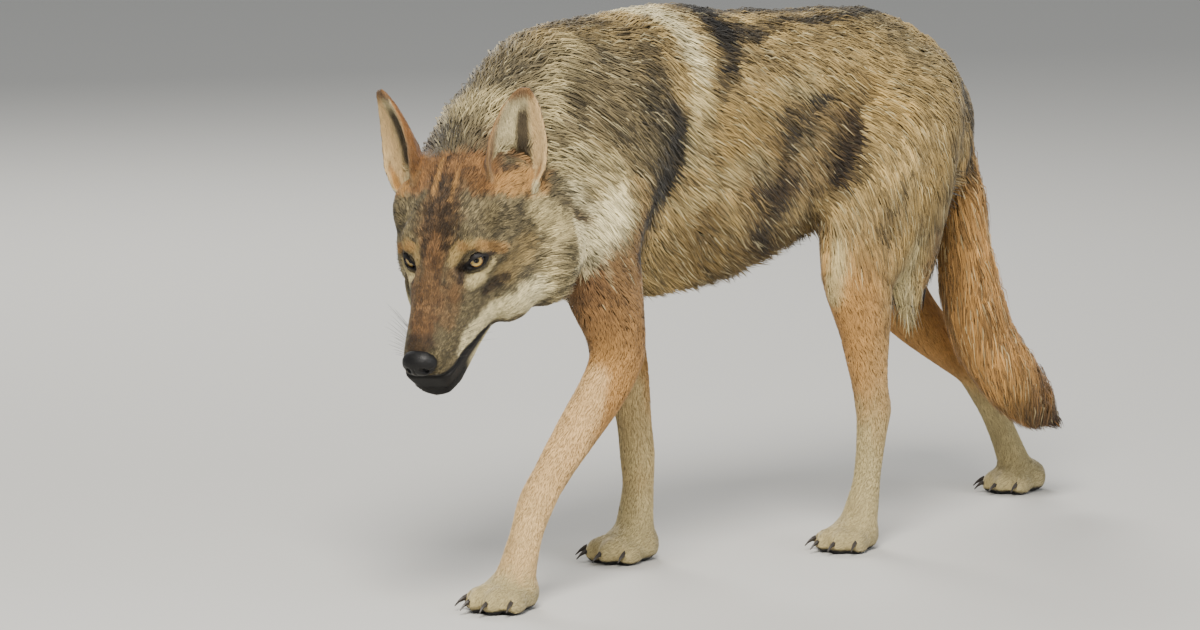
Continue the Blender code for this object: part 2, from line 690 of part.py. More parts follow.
def main():
    clear_scene()
    finish = make_materials()
    scene = bpy.context.scene
    wolf = bpy.data.collections.new("wolf")
    build = bpy.data.collections.new("cutters")
    scene.collection.children.link(wolf)
    scene.collection.children.link(build)
    frame = head_frame()

    forms = [*trunk_forms(build), *leg_forms(build), *paw_forms(build),
             *head_forms(frame, build)]
    body = melt_together("body", forms, orbit_hollows(frame, build), build,
                         BLEND_VOXEL, BLEND_PASSES, BODY_TRIANGLES)
    flatten_soles(body)

    tail = melt_together("tail", [tail_form(build)], [], build, BLEND_VOXEL, 3, TAIL_TRIANGLES)
    fit_against(tail, body, build)
    ears = [make_ear(side, frame, finish["coat_rust"], build) for side in (1, -1)]
    nose = make_nose(frame, finish["nose_leather"], build)
    claws = make_claws(finish["claw_horn"], build)
    for grown in [*ears, nose, *claws]:
        fit_against(grown, body, build)
    eyes = [make_eye(side, frame, finish["eye_amber"], build) for side in (1, -1)]
    for eye in eyes:
        socket = inflated(eye, GAP, build)
        boolean(body, socket, "DIFFERENCE")
        bpy.data.objects.remove(socket, do_unlink=True)

    pieces = [tail, *ears, nose, *claws, *eyes]
    for leg in PAWS:
        pieces += part_leg(body, leg, build)
    trunk, front = split_by_plane(body, ("trunk", "front"), (0.335, 0, 0.5), (0.93, 0, -0.05), build)
    neck_end = frame @ Vector((-0.128, 0, -0.03))
    neck, head = split_by_plane(front, ("neck", "head"), neck_end,
                                frame.to_3x3() @ Vector((1, 0, -0.10)), build)
    jaw = part_off(head, "jaw", jaw_block(frame, build), build)
    pieces += [trunk, neck, head, jaw]

    colours = {"coat_tan": ("arm", "foot", "shank", "jaw"), "coat_rust": ("tail",)}
    for obj in pieces:
        largest_island(obj)
        if obj.data.materials:
            while len(obj.data.materials) > 1:
                obj.data.materials.pop()
        else:
            kind = next((c for c, ends in colours.items() if obj.name.endswith(ends)), "coat_grey")
            obj.data.materials.append(finish[kind])
        for face in obj.data.polygons:
            face.material_index = 0
            face.use_smooth = True
        build.objects.unlink(obj)
        wolf.objects.link(obj)
    centre_on_origin(pieces)
    bpy.data.collections.remove(build)


main()
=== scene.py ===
import math
from itertools import product

import bmesh
import bpy
import numpy as np
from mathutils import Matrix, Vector
from mathutils.bvhtree import BVHTree
from mathutils.kdtree import KDTree


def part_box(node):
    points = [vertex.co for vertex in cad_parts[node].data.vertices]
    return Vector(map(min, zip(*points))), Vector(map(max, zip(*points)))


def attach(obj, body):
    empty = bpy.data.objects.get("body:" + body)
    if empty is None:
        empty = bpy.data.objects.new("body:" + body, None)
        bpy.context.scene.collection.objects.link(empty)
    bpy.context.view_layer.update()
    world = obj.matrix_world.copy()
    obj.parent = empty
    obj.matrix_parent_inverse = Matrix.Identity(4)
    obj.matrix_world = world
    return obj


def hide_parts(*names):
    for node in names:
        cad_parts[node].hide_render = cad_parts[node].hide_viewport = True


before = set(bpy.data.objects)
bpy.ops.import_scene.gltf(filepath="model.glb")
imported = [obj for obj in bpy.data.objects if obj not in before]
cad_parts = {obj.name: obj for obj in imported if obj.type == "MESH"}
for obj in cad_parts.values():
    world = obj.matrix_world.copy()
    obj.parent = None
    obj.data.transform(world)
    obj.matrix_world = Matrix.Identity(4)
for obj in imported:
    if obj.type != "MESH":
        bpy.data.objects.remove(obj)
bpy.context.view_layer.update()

chance = np.random.default_rng(41)

# camera, floor and light
view = {"target": (0.2375, -0.0053, 0.3180), "distance": 9.0, "azimuth": 135.0,
        "height": 8.0, "lens": 225.45, "sensor": 36.0}
stage = {"floorSize": 60.0, "floorColour": (0.56, 0.55, 0.52), "floorRoughness": 0.9,
         "airColour": (0.80, 0.83, 0.86), "airLight": 0.50, "lampsAim": (0.1, 0.0, 0.35)}
lights = [  # name, place, size, watts, colour
    ("keyLight", (2.6, 2.2, 3.6), 1.8, 360.0, (1.0, 0.965, 0.90)),
    ("fillLight", (-1.2, 4.4, 2.0), 3.0, 80.0, (0.95, 0.97, 1.0)),
    ("rimLight", (-1.6, -3.2, 2.8), 2.0, 120.0, (1.0, 0.98, 0.94)),
]


def turnTowards(thing, target):
    thing.rotation_euler = (Vector(target) - thing.location).to_track_quat("-Z", "Y").to_euler()


def makeStage():
    scene = bpy.context.scene
    around, above = math.radians(view["azimuth"]), math.radians(view["height"])
    back = Vector((math.sin(around) * math.cos(above), -math.cos(around) * math.cos(above),
                   math.sin(above)))
    camera = bpy.data.objects.new("camera", bpy.data.cameras.new("camera"))
    camera.data.lens = view["lens"]
    camera.data.sensor_width = view["sensor"]
    camera.location = Vector(view["target"]) + back * view["distance"]
    turnTowards(camera, view["target"])
    scene.collection.objects.link(camera)
    scene.camera = camera

    half = stage["floorSize"] / 2
    mesh = bpy.data.meshes.new("floor")
    mesh.from_pydata([(-half, -half, 0), (half, -half, 0), (half, half, 0), (-half, half, 0)],
                     [], [(0, 1, 2, 3)])
    floor = bpy.data.objects.new("floor", mesh)
    scene.collection.objects.link(floor)
    paint = bpy.data.materials.new("paleFloor")
    paint.use_nodes = True
    shader = paint.node_tree.nodes["Principled BSDF"]
    shader.inputs["Base Color"].default_value = (*stage["floorColour"], 1)
    shader.inputs["Roughness"].default_value = stage["floorRoughness"]
    mesh.materials.append(paint)

    world = bpy.data.worlds.new("studio")
    scene.world = world
    world.use_nodes = True
    air = world.node_tree.nodes["Background"]
    air.inputs["Color"].default_value = (*stage["airColour"], 1)
    air.inputs["Strength"].default_value = stage["airLight"]
    for name, place, size, watts, colour in lights:
        lamp = bpy.data.objects.new(name, bpy.data.lights.new(name, "AREA"))
        lamp.data.shape = "DISK"
        lamp.data.size = size
        lamp.data.energy = watts
        lamp.data.color = colour
        lamp.location = place
        turnTowards(lamp, stage["lampsAim"])
        scene.collection.objects.link(lamp)


makeStage()
print("stage done")

# small helpers
up = np.array((0.0, 0.0, 1.0))
both = ("left", "right")
mergeReach = 1e-5          # a CAD mesh is loose triangles, joined where they touch


def smoothStep(low, high, value):
    t = np.clip((value - low) / (high - low), 0.0, 1.0)
    return t * t * (3 - 2 * t)


def mix(a, b, t):
    t = np.asarray(t)
    return a + (b - a) * (t[..., None] if np.ndim(a) > np.ndim(t) or np.ndim(b) > np.ndim(t) else t)


def unit(rows):
    return rows / np.maximum(np.linalg.norm(rows, axis=-1, keepdims=True), 1e-9)


def rowDot(a, b):
    return np.einsum("ij,ij->i", a, b)


def hashed(cells, seed):
    # a fixed pseudo random number from 0 to 1 for each lattice cell
    n = (cells[:, 0] * 73856093) ^ (cells[:, 1] * 19349663)
    n = n ^ (cells[:, 2] * 83492791) ^ (seed * 2654435)
    n = (n ^ (n >> 13)) * 1274126177
    return ((n ^ (n >> 16)) & 0xFFFFF) / float(0xFFFFF)


def noiseAt(points, scale, seed):
    # smooth noise from -1 to 1, one wave about 1 / scale metres long
    p = points * scale
    base = np.floor(p).astype(np.int64)
    t = p - base
    t = t * t * (3 - 2 * t)
    total = np.zeros(len(p))
    for corner in product((0, 1), repeat=3):
        total += np.where(corner, t, 1 - t).prod(1) * hashed(base + corner, seed)
    return total * 2 - 1


def centreOf(node):
    low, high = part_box(node)
    return np.array((low + high) / 2)


def readArray(rows, name, width, kind=np.float32):
    flat = np.empty(len(rows) * width, kind)
    rows.foreach_get(name, flat)
    return flat.reshape(-1, width)


def placesOf(mesh):
    return readArray(mesh.vertices, "co", 3).astype(float)


def edgesOf(mesh):
    return readArray(mesh.edges, "vertices", 2, np.int32)


def normalsOf(mesh):
    return readArray(mesh.vertex_normals, "vector", 3).astype(float)


def setPlaces(mesh, verts):
    mesh.vertices.foreach_set("co", verts.astype(np.float32).ravel())
    mesh.update()


def endsOf(node, way=(0, 0, -1), edge=14):
    # middles of a node's two ends, the first one where the way starts
    points = placesOf(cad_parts[node].data)
    along = points @ unit(np.array(way, float))
    low, high = np.percentile(along, (edge, 100 - edge))
    return points[along <= low].mean(0), points[along >= high].mean(0)


def spread(values, edges, rounds, amount=0.5):
    # each vertex takes in some of its neighbours' mean
    a, b = edges.T
    count = len(values)
    number = np.maximum(np.bincount(a, minlength=count) + np.bincount(b, minlength=count), 1)
    values = values.reshape(count, -1)
    share = np.broadcast_to(np.asarray(amount, float).reshape(-1, 1), (count, 1))
    for _ in range(rounds):
        mean = np.stack([np.bincount(a, values[b, k], count) + np.bincount(b, values[a, k], count)
                         for k in range(values.shape[1])], 1) / number[:, None]
        values = values + (mean - values) * share
    return values


def newObject(name, mesh):
    thing = bpy.data.objects.new(name, mesh)
    bpy.context.scene.collection.objects.link(thing)
    return thing


def finishPiece(piece, material):
    mesh = piece.data
    mesh.materials.clear()
    mesh.materials.append(material)
    mesh.polygons.foreach_set("use_smooth", np.ones(len(mesh.polygons), bool))
    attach(piece, "root")
    return piece


def meltedFrom(name, bm, voxel):
    # an object whose loose solids are melted into one surface
    thing = newObject(name, meshOf(bm, name))
    melt = thing.modifiers.new("melt", "REMESH")
    melt.mode = "VOXEL"
    melt.voxel_size = voxel
    return thing


def settled(thing):
    # the mesh as its modifiers leave it, in place of the one before
    graph = bpy.context.evaluated_depsgraph_get()
    result = bpy.data.meshes.new_from_object(thing.evaluated_get(graph))
    thing.modifiers.clear()
    old = thing.data
    thing.data = result
    bpy.data.meshes.remove(old)
    return result


def mergedNode(name):
    bm = bmesh.new()
    bm.from_mesh(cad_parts[name].data)
    bmesh.ops.remove_doubles(bm, verts=bm.verts, dist=mergeReach)
    return bm


def meshOf(bm, name):
    mesh = bpy.data.meshes.new(name)
    bm.to_mesh(mesh)
    bm.free()
    return mesh


def closedMesh(name, verts, faces):
    # a mesh from lists, with its faces turned outwards
    mesh = bpy.data.meshes.new(name)
    mesh.from_pydata([tuple(v) for v in verts], [], faces)
    bm = bmesh.new()
    bm.from_mesh(mesh)
    bmesh.ops.recalc_face_normals(bm, faces=bm.faces)
    bm.to_mesh(mesh)
    bm.free()
    return mesh


def meshFrom(name, verts, faces):
    # a mesh from arrays, all faces with the same number of corners
    mesh = bpy.data.meshes.new(name)
    count, corners = faces.shape
    mesh.vertices.add(len(verts))
    mesh.vertices.foreach_set("co", np.ascontiguousarray(verts, np.float32).ravel())
    mesh.loops.add(count * corners)
    mesh.loops.foreach_set("vertex_index", np.ascontiguousarray(faces, np.int32).ravel())
    mesh.polygons.add(count)
    mesh.polygons.foreach_set("loop_start", np.arange(0, count * corners, corners, dtype=np.int32))
    mesh.update(calc_edges=True)
    return mesh


def addColour(mesh, name, values):
    layer = mesh.attributes.new(name, "FLOAT_COLOR", "POINT")
    flat = np.ones((len(values), 4), np.float32)
    flat[:, :3] = values
    layer.data.foreach_set("color", flat.ravel())


def addNumber(mesh, name, values):
    layer = mesh.attributes.new(name, "FLOAT", "POINT")
    layer.data.foreach_set("value", np.ascontiguousarray(values, np.float32))


def addVectors(mesh, name, values):
    layer = mesh.attributes.new(name, "FLOAT_VECTOR", "POINT")
    layer.data.foreach_set("vector", values.astype(np.float32).ravel())


def addMap(mesh, name, places):
    layer = mesh.uv_layers.new(name=name)
    layer.uv.foreach_set("vector", places.astype(np.float32).ravel())


# the head's own axes, from the eyes and the nose
noseDip = math.atan2(0.024, 0.127)                 # the nose lies a little under the long axis
eyeAt = {side: centreOf("eye_" + side) for side in both}
noseAt = centreOf("nose")
headSide = unit(eyeAt["left"] - eyeAt["right"])
toNose = noseAt - (eyeAt["left"] + eyeAt["right"]) / 2
toNose = unit(toNose - headSide * (toNose @ headSide))
overHead = np.cross(toNose, headSide)
headFront = toNose * math.cos(noseDip) + overHead * math.sin(noseDip)
headUp = np.cross(headFront, headSide)
headAxes = np.stack((headFront, headSide, headUp), 1)
headAt = (eyeAt["left"] + eyeAt["right"]) / 2 + headFront * 0.006 + headUp * 0.001
eyeRadius = float((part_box("eye_left")[1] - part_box("eye_left")[0]).z) / 2


def toHead(points):
    return (points - headAt) @ headAxes


def fromHead(points):
    return headAt + np.asarray(points) @ headAxes.T


sideSign = {"left": 1.0, "right": -1.0}

# where each kind of hair grows: its length, the coat's depth, the tufts' spacing and width
hair = {
    "trunk": (0.0450, 0.0085, 0.0040, 0.0027), "neck": (0.0530, 0.0120, 0.0038, 0.0027),
    "head": (0.0125, 0.0032, 0.0024, 0.0018), "jaw": (0.0085, 0.0020, 0.0024, 0.0017),
    "ear_left": (0.0075, 0.0010, 0.0024, 0.0016), "ear_right": (0.0075, 0.0010, 0.0024, 0.0016),
    "upper_arm": (0.0230, 0.0045, 0.0036, 0.0027), "forearm": (0.0115, 0.0020, 0.0030, 0.0020),
    "front_foot": (0.0085, 0.0014, 0.0027, 0.0018), "thigh": (0.0400, 0.0080, 0.0038, 0.0027),
    "shank": (0.0150, 0.0026, 0.0031, 0.0022), "hind_foot": (0.0085, 0.0014, 0.0027, 0.0018),
    "tail": (0.0580, 0.0130, 0.0036, 0.0028),
}
palette = {name: np.array(colour) for name, colour in {  # linear colours of the hair
    "white": (0.92, 0.79, 0.44), "cream": (0.61, 0.49, 0.235), "buff": (0.385, 0.265, 0.098),
    # the ochre is dark: the lower flank's hue with painted shade under the body
    "sand": (0.90, 0.58, 0.25), "straw": (0.46, 0.30, 0.095), "shadedOchre": (0.150, 0.092, 0.026),
    "tan": (0.53, 0.275, 0.080), "rust": (0.30, 0.128, 0.033), "rufous": (0.175, 0.088, 0.032),
    "brown": (0.115, 0.055, 0.018), "grey": (0.150, 0.117, 0.057),
    "darkGrey": (0.047, 0.038, 0.020), "darkBrown": (0.030, 0.015, 0.006),
    "black": (0.006, 0.005, 0.004), "bare": (0.006, 0.005, 0.0045),
}.items()}
ground = {  # the plain colour under the markings, and the share of dark-tipped hairs
    "trunk": ("buff", 0.34), "neck": ("grey", 0.42), "head": ("grey", 0.45), "jaw": ("white", 0.04),
    "ear_left": ("rust", 0.12), "ear_right": ("rust", 0.12), "upper_arm": ("rufous", 0.20),
    "forearm": ("tan", 0.0), "front_foot": ("cream", 0.0), "thigh": ("buff", 0.34),
    "shank": ("tan", 0.0), "hind_foot": ("cream", 0.0), "tail": ("tan", 0.28),
}


def kindOf(node):
    for kind in hair:
        if node == kind or node.endswith(kind):
            return kind
    return ("front_" if node.startswith("front") else "hind_") + "foot"


fleshNodes = sorted(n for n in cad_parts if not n.startswith(("claw", "eye", "nose")))

# the skin: one mesh over all the flesh nodes
skinValues = {"voxel": 0.0026, "overlap": 0.0005, "bodyRounds": 28, "headRounds": 5,
              "bodyTriangles": 70000, "earMargin": 0.004, "eyeReach": 0.021, "muzzleStart": 0.050}


def meltFlesh():
    whole = bmesh.new()
    for name in fleshNodes:
        part = mergedNode(name)
        part.normal_update()
        for v, place in [(v, v.co + v.normal * skinValues["overlap"]) for v in part.verts]:
            v.co = place
        mesh = meshOf(part, "part")
        whole.from_mesh(mesh)
        bpy.data.meshes.remove(mesh)
    return meltedFrom("flesh", whole, skinValues["voxel"])


def fineShare(verts):
    # 1 on the head and the toes, where the form is small, 0 on the body
    h = toHead(verts)
    head = smoothStep(-0.135, -0.105, h[:, 0]) * smoothStep(0.24, 0.20, np.linalg.norm(h, axis=1))
    ears = np.zeros(len(verts))
    margin = skinValues["earMargin"]
    for side in both:
        low, high = (np.array(c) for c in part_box("ear_" + side))
        inside = np.all((verts > low - margin) & (verts < high + margin), axis=1)
        ears = np.maximum(ears, inside)
    toes = smoothStep(0.060, 0.030, verts[:, 2])
    return np.maximum.reduce((head, ears, toes * 0.8))


def keepLargest(bm):
    # one shell only: loose bits of the melt are left out
    left, shells = set(bm.verts), []
    while left:
        waiting, shell = [left.pop()], []
        while waiting:
            vert = waiting.pop()
            shell.append(vert)
            for edge in vert.link_edges:
                other = edge.other_vert(vert)
                if other in left:
                    left.remove(other)
                    waiting.append(other)
        shells.append(shell)
    shells.sort(key=len)
    loose = [vert for shell in shells[:-1] for vert in shell]
    bmesh.ops.delete(bm, geom=loose, context="VERTS")


def makeSkinBody():
    body = meltFlesh()
    mesh = settled(body)
    verts, edges = placesOf(mesh), edgesOf(mesh)
    fine = fineShare(verts)
    verts = spread(verts, edges, skinValues["headRounds"])
    verts = spread(verts, edges, skinValues["bodyRounds"], 0.5 * (1 - fine))
    setPlaces(mesh, verts)
    print("skin melted:", len(mesh.polygons), "quads")
    # the body is thinned, and the head, ears and toes are held
    held = fine > 0.85
    group = body.vertex_groups.new(name="thin")
    group.add(np.nonzero(~held)[0].tolist(), 1.0, "REPLACE")
    thin = body.modifiers.new("thin", "DECIMATE")
    thin.ratio = (2 * int(held.sum()) + skinValues["bodyTriangles"]) / (2 * len(mesh.polygons))
    thin.vertex_group = "thin"
    mesh = settled(body)
    body.vertex_groups.clear()
    bm = bmesh.new()
    bm.from_mesh(mesh)
    bmesh.ops.triangulate(bm, faces=bm.faces)
    keepLargest(bm)
    # the muzzle and the eyes' surrounds are made finer
    small = []
    for edge in bm.edges:
        place = np.array(edge.verts[0].co)
        h = toHead(place[None])[0]
        nearEye = any(np.linalg.norm(place - eyeAt[s]) < skinValues["eyeReach"] for s in eyeAt)
        if (h[0] > skinValues["muzzleStart"] and np.linalg.norm(h) < 0.2) or nearEye:
            small.append(edge)
    bmesh.ops.subdivide_edges(bm, edges=small, cuts=1, smooth=0.0)
    bmesh.ops.triangulate(bm, faces=bm.faces)
    bm.to_mesh(mesh)
    bm.free()
    print("skin thinned:", len(mesh.polygons), "triangles")
    return body


skin = makeSkinBody()
skin.name = "skin"
skin.data.name = "skin"


# each skin vertex takes its values from its nearest node
def nearestNodes(points):
    corners, faces, owner = [], [], []
    for index, name in enumerate(fleshNodes):
        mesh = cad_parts[name].data
        start = len(corners)
        corners += [tuple(v.co) for v in mesh.vertices]
        faces += [tuple(start + i for i in p.vertices) for p in mesh.polygons]
        owner += [index] * len(mesh.polygons)
    tree = BVHTree.FromPolygons(corners, faces)
    owner = np.array(owner)
    return owner[[tree.find_nearest(p)[2] for p in points.tolist()]]


skinVerts, skinEdges = placesOf(skin.data), edgesOf(skin.data)
skinTris = readArray(skin.data.loops, "vertex_index", 1, np.int32).reshape(-1, 3)
skinNormals = normalsOf(skin.data)
nodeOf = nearestNodes(skinVerts)
kinds = [kindOf(name) for name in fleshNodes]
onHead = toHead(skinVerts)
spineLine = [(-0.60, -0.005), (0.24, -0.005), (0.36, 0.008), (0.43, 0.021), (0.50, 0.039)]
spineSide = np.interp(skinVerts[:, 0], *zip(*spineLine))
onTrunk = skinVerts - spineSide[:, None] * (0, 1, 0)
earNodes = ("ear_left", "ear_right")
isHead = np.isin(nodeOf, [fleshNodes.index(n) for n in ("head", "jaw") + earNodes])
print("skin labelled")


def perNode(index):
    # a number for each kind of hair, as skin values
    table = np.array([hair[k][index] for k in kinds])
    return table[nodeOf]


combValues = {"halfWidth": 0.095, "sideFall": 0.50, "chestFall": 0.35, "rumpFall": 0.9,
              "neckTurn": 0.15, "neckFall": 0.55, "throatFall": 0.25, "cheekFall": 0.55,
              "faceSpread": 0.35, "roundEyes": 1.2, "limbsBack": 0.45, "onToes": (1.0, 0.0, -0.25),
              "earLean": 0.4}
earWay = headUp - headFront * combValues["earLean"]


def combWays():
    # the way that the hair lies, before it is smoothed over the skin
    ways = np.zeros((len(skinVerts), 3))
    side = np.clip(np.abs(onTrunk[:, 1]) / combValues["halfWidth"], 0, 1)
    for index, name in enumerate(fleshNodes):
        mine = nodeOf == index
        kind = kinds[index]
        if kind == "trunk":
            fall = combValues["sideFall"] * side
            fall += combValues["chestFall"] * smoothStep(0.20, 0.32, skinVerts[:, 0])
            fall += combValues["rumpFall"] * smoothStep(-0.28, -0.40, skinVerts[:, 0])
            way = np.stack((-np.ones_like(side), np.zeros_like(side), -fall), 1)
        elif kind == "neck":
            under = smoothStep(-0.2, -0.9, skinNormals[:, 2])
            fall = combValues["neckFall"] * side + combValues["throatFall"] * under
            way = np.stack((-np.ones_like(side), np.full_like(side, -combValues["neckTurn"]),
                            -fall), 1)
        elif kind in ("head", "jaw"):
            cheek = smoothStep(0.03, 0.075, np.abs(onHead[:, 1]))
            cheek = cheek * smoothStep(0.02, -0.04, onHead[:, 0])
            outward = np.sign(onHead[:, 1]) * combValues["faceSpread"]
            outward = outward * smoothStep(0.04, -0.02, onHead[:, 0])
            way = (-headFront + outward[:, None] * headSide
                   - (combValues["cheekFall"] * cheek)[:, None] * headUp)
            for s in eyeAt:
                away = skinVerts - eyeAt[s]
                near = smoothStep(0.026, 0.014, np.linalg.norm(away, axis=1))
                way = way + unit(away) * (combValues["roundEyes"] * near)[:, None]
        elif kind.startswith("ear"):
            base, tip = endsOf(name, earWay)
            way = np.broadcast_to(unit(tip - base), ways.shape)
        else:
            start, end = endsOf(name)
            way = np.broadcast_to(unit(end - start), ways.shape)
            if kind in ("thigh", "upper_arm"):
                way = way - np.array((combValues["limbsBack"], 0, 0))
            elif kind.endswith("foot"):
                toes = smoothStep(0.060, 0.028, skinVerts[:, 2])
                way = mix(way, np.array(combValues["onToes"]), toes)
        ways[mine] = way[mine]
    return unit(ways)


def alongSkin(ways):
    return ways - skinNormals * rowDot(ways, skinNormals)[:, None]


comb = spread(alongSkin(combWays()), skinEdges, 6)
comb = spread(comb, skinEdges, 26, 0.5 * (1 - 0.8 * isHead))
comb = unit(alongSkin(comb))

coatLength, coatDepth, coatSpacing, coatWidth = spread(
    np.stack([perNode(i) for i in range(4)], 1), skinEdges, 24, 0.5 * (1 - 0.5 * isHead)).T.copy()
growth = {  # how much longer and deeper the coat is at each place, and its sizes on the face
    "ruff": (2.1, 1.4), "mane": (0.25, 0.15), "fringe": (0.60, 0.7), "belly": (0.35, 0.2),
    "hiddenSide": -0.65, "face": 0.78, "faceDepth": 0.0024, "muzzle": (0.0055, 0.0012),
    "aroundEye": (0.0048, 0.0009), "inEar": 0.0150, "fineSpacing": 0.0019, "fineWidth": 0.0013,
}
hanging = {"underside": 0.70, "ruff": 0.65, "tail": 0.25, "body": 0.10}


def mirrored(points):
    return points * (1, 0, 1) + np.abs(points) * (0, 1, 0)


def shapeCoat():
    # the coat is shortest on the muzzle and longest at the ruff, the mane and the fringes
    h, z = onHead, skinVerts[:, 2]
    muzzle = smoothStep(0.005, 0.045, h[:, 0]) * isHead
    face = smoothStep(-0.075, -0.030, h[:, 0]) * isHead
    ruff = strokes(mirrored(h), [(-0.055, 0.085, -0.055, 0.034), (-0.050, 0.070, -0.105, 0.034),
                                 (-0.080, 0.030, -0.120, 0.040)]) * isHead
    fromEye = np.minimum.reduce([np.linalg.norm(skinVerts - eyeAt[s], axis=1) for s in eyeAt])
    aroundEye = smoothStep(0.030, 0.018, fromEye)
    mane = strokes(onTrunk, [(0.15, 0, 0.69, 0.05), (0.30, 0, 0.67, 0.05), (0.38, 0, 0.62, 0.045)])
    belly = smoothStep(-0.3, -0.8, skinNormals[:, 2]) * smoothStep(0.35, 0.37, z)
    fringe = strokes(mirrored(skinVerts),
                     [(-0.235, 0.075, 0.42, 0.035), (-0.205, 0.08, 0.31, 0.034)])
    lowFringe = fringe * smoothStep(0.38, 0.33, z)
    seen = np.maximum(skinNormals[:, 1] * np.sign(skinVerts[:, 1]), -skinNormals[:, 0])
    hiddenSide = lowFringe * smoothStep(0.15, -0.30, seen)
    lowFringe = lowFringe - hiddenSide
    underside = smoothStep(0.2, -0.5, skinNormals[:, 2]) * smoothStep(0.32, 0.36, z) * ~isHead
    tail = nodeOf == fleshNodes.index("tail")
    longer, deeper = 1, 1
    for name, place in (("ruff", ruff), ("mane", mane), ("fringe", fringe), ("belly", belly)):
        longer = longer + growth[name][0] * place
        deeper = deeper + growth[name][1] * (lowFringe if name == "fringe" else place)
    length = coatLength * longer * (1 + growth["hiddenSide"] * hiddenSide)
    depth = coatDepth * deeper
    hang = np.maximum.reduce((lowFringe, hanging["underside"] * underside, hanging["ruff"] * ruff,
                              hanging["tail"] * tail, hanging["body"] * ~isHead))
    length = mix(length, length * growth["face"], face)
    depth = mix(depth, growth["faceDepth"], face * (1 - ruff))
    for name, place in (("muzzle", muzzle), ("aroundEye", aroundEye)):
        length = mix(length, growth[name][0], place)
        depth = mix(depth, growth[name][1], place)
    finest = np.maximum(muzzle, aroundEye)
    spacing = mix(coatSpacing, growth["fineSpacing"], finest)
    width = mix(coatWidth, growth["fineWidth"], finest)
    length = mix(length, growth["inEar"], earHollow())
    soles = smoothStep(0.016, 0.006, z)
    depth = depth * (1 - soles)
    return length, depth, spacing, width, hang * smoothStep(0.018, 0.034, length)


def strokes(points, line, edge=0.6):
    # how far inside a thick stroke each point is: points of the line are x, y, z and thickness
    best = np.zeros(len(points))
    line = np.array(line, float)
    if len(line) == 1:
        line = np.vstack((line, line))
    for a, b in zip(line, line[1:]):
        run = b[:3] - a[:3]
        t = np.clip((points - a[:3]) @ run / max(run @ run, 1e-12), 0, 1)
        far = np.linalg.norm(points - (a[:3] + t[:, None] * run), axis=1)
        thick = a[3] + (b[3] - a[3]) * t
        best = np.maximum(best, smoothStep(1 + edge, 1 - edge, far / thick))
    return best


def headWay(front, out, rise, name):
    # a direction on the head's axes, with out measured away from its middle
    return headAxes @ unit(np.array((front, out * sideSign[name.split("_")[-1]], rise)))


def earMouth(name):
    return headWay(0.72, 0.50, 0.36, name)


def earHollow():
    # 1 on the cupped front face of each ear
    inside = np.zeros(len(skinVerts))
    for name in earNodes:
        mine = nodeOf == fleshNodes.index(name)
        inside = np.maximum(inside, mine * smoothStep(0.05, 0.45, skinNormals @ earMouth(name)))
    return inside


coatLength, coatDepth, coatSpacing, coatWidth, coatHang = shapeCoat()
coatDepth = spread(coatDepth, skinEdges, 4)[:, 0]


# eyes, lids and lips pressed into the skin
eyeValues = {"length": 0.0122, "upper": 0.0064, "lower": 0.0044, "corner": 0.0050,
             "corners": -0.0034, "lensRadius": 0.0215, "iris": 0.0081, "pupil": 0.0029,
             "gaze": (0.80, 0.46, 0.36), "lidThickness": 0.0006, "lidUnder": 0.0010,
             "lean": 0.22, "roundness": 0.35, "reach": 0.034, "ballDepth": 0.45,
             "middle": (-0.0020, -0.0018), "pressed": (0.0162, 0.0088), "pressedEdge": (2.1, 1.15),
             "ballEdge": (0.80, 0.58), "bareMiddle": (-0.0022, -0.0018), "bare": (0.0160, 0.0072)}
lipLine = [(0.022, -0.083), (0.036, -0.076), (0.088, -0.056), (0.118, -0.051), (0.150, -0.048)]
lipValues = {"depth": 0.0020, "width": 0.0019, "start": 0.018}


def eyeAxes(side):
    # out of the opening, along it from the nose to the ear, and up across it
    out = headWay(0.70, 0.56, 0.44, side)
    along = headWay(-0.50, 0.83, 0.10, side)
    along = unit(along - out * (along @ out))
    across = np.cross(out, along) * sideSign[side]
    return out, along, across


def lidHeight(x, y):
    # the lids' outer surface over the eyeball's centre
    top = eyeRadius + eyeValues["lidThickness"]
    return top - (x ** 2 + y ** 2) / (2 * eyeValues["lensRadius"])


def ovalReach(x, y, middle, radii):
    return np.sqrt(((x - middle[0]) / radii[0]) ** 2 + ((y - middle[1]) / radii[1]) ** 2)


def openingAt(angle):
    # the almond outline of the opening, drawn out to the inner corner
    turn = np.cos(angle)
    x = eyeValues["length"] * turn - eyeValues["corner"] * smoothStep(0.55, 1.0, -turn)
    rise = np.sin(angle)
    tall = np.where(rise > 0, eyeValues["upper"], eyeValues["lower"])
    lean = 1 - eyeValues["lean"] * turn * np.sign(rise)
    return x, eyeValues["corners"] + tall * rise * np.abs(rise) ** eyeValues["roundness"] * lean


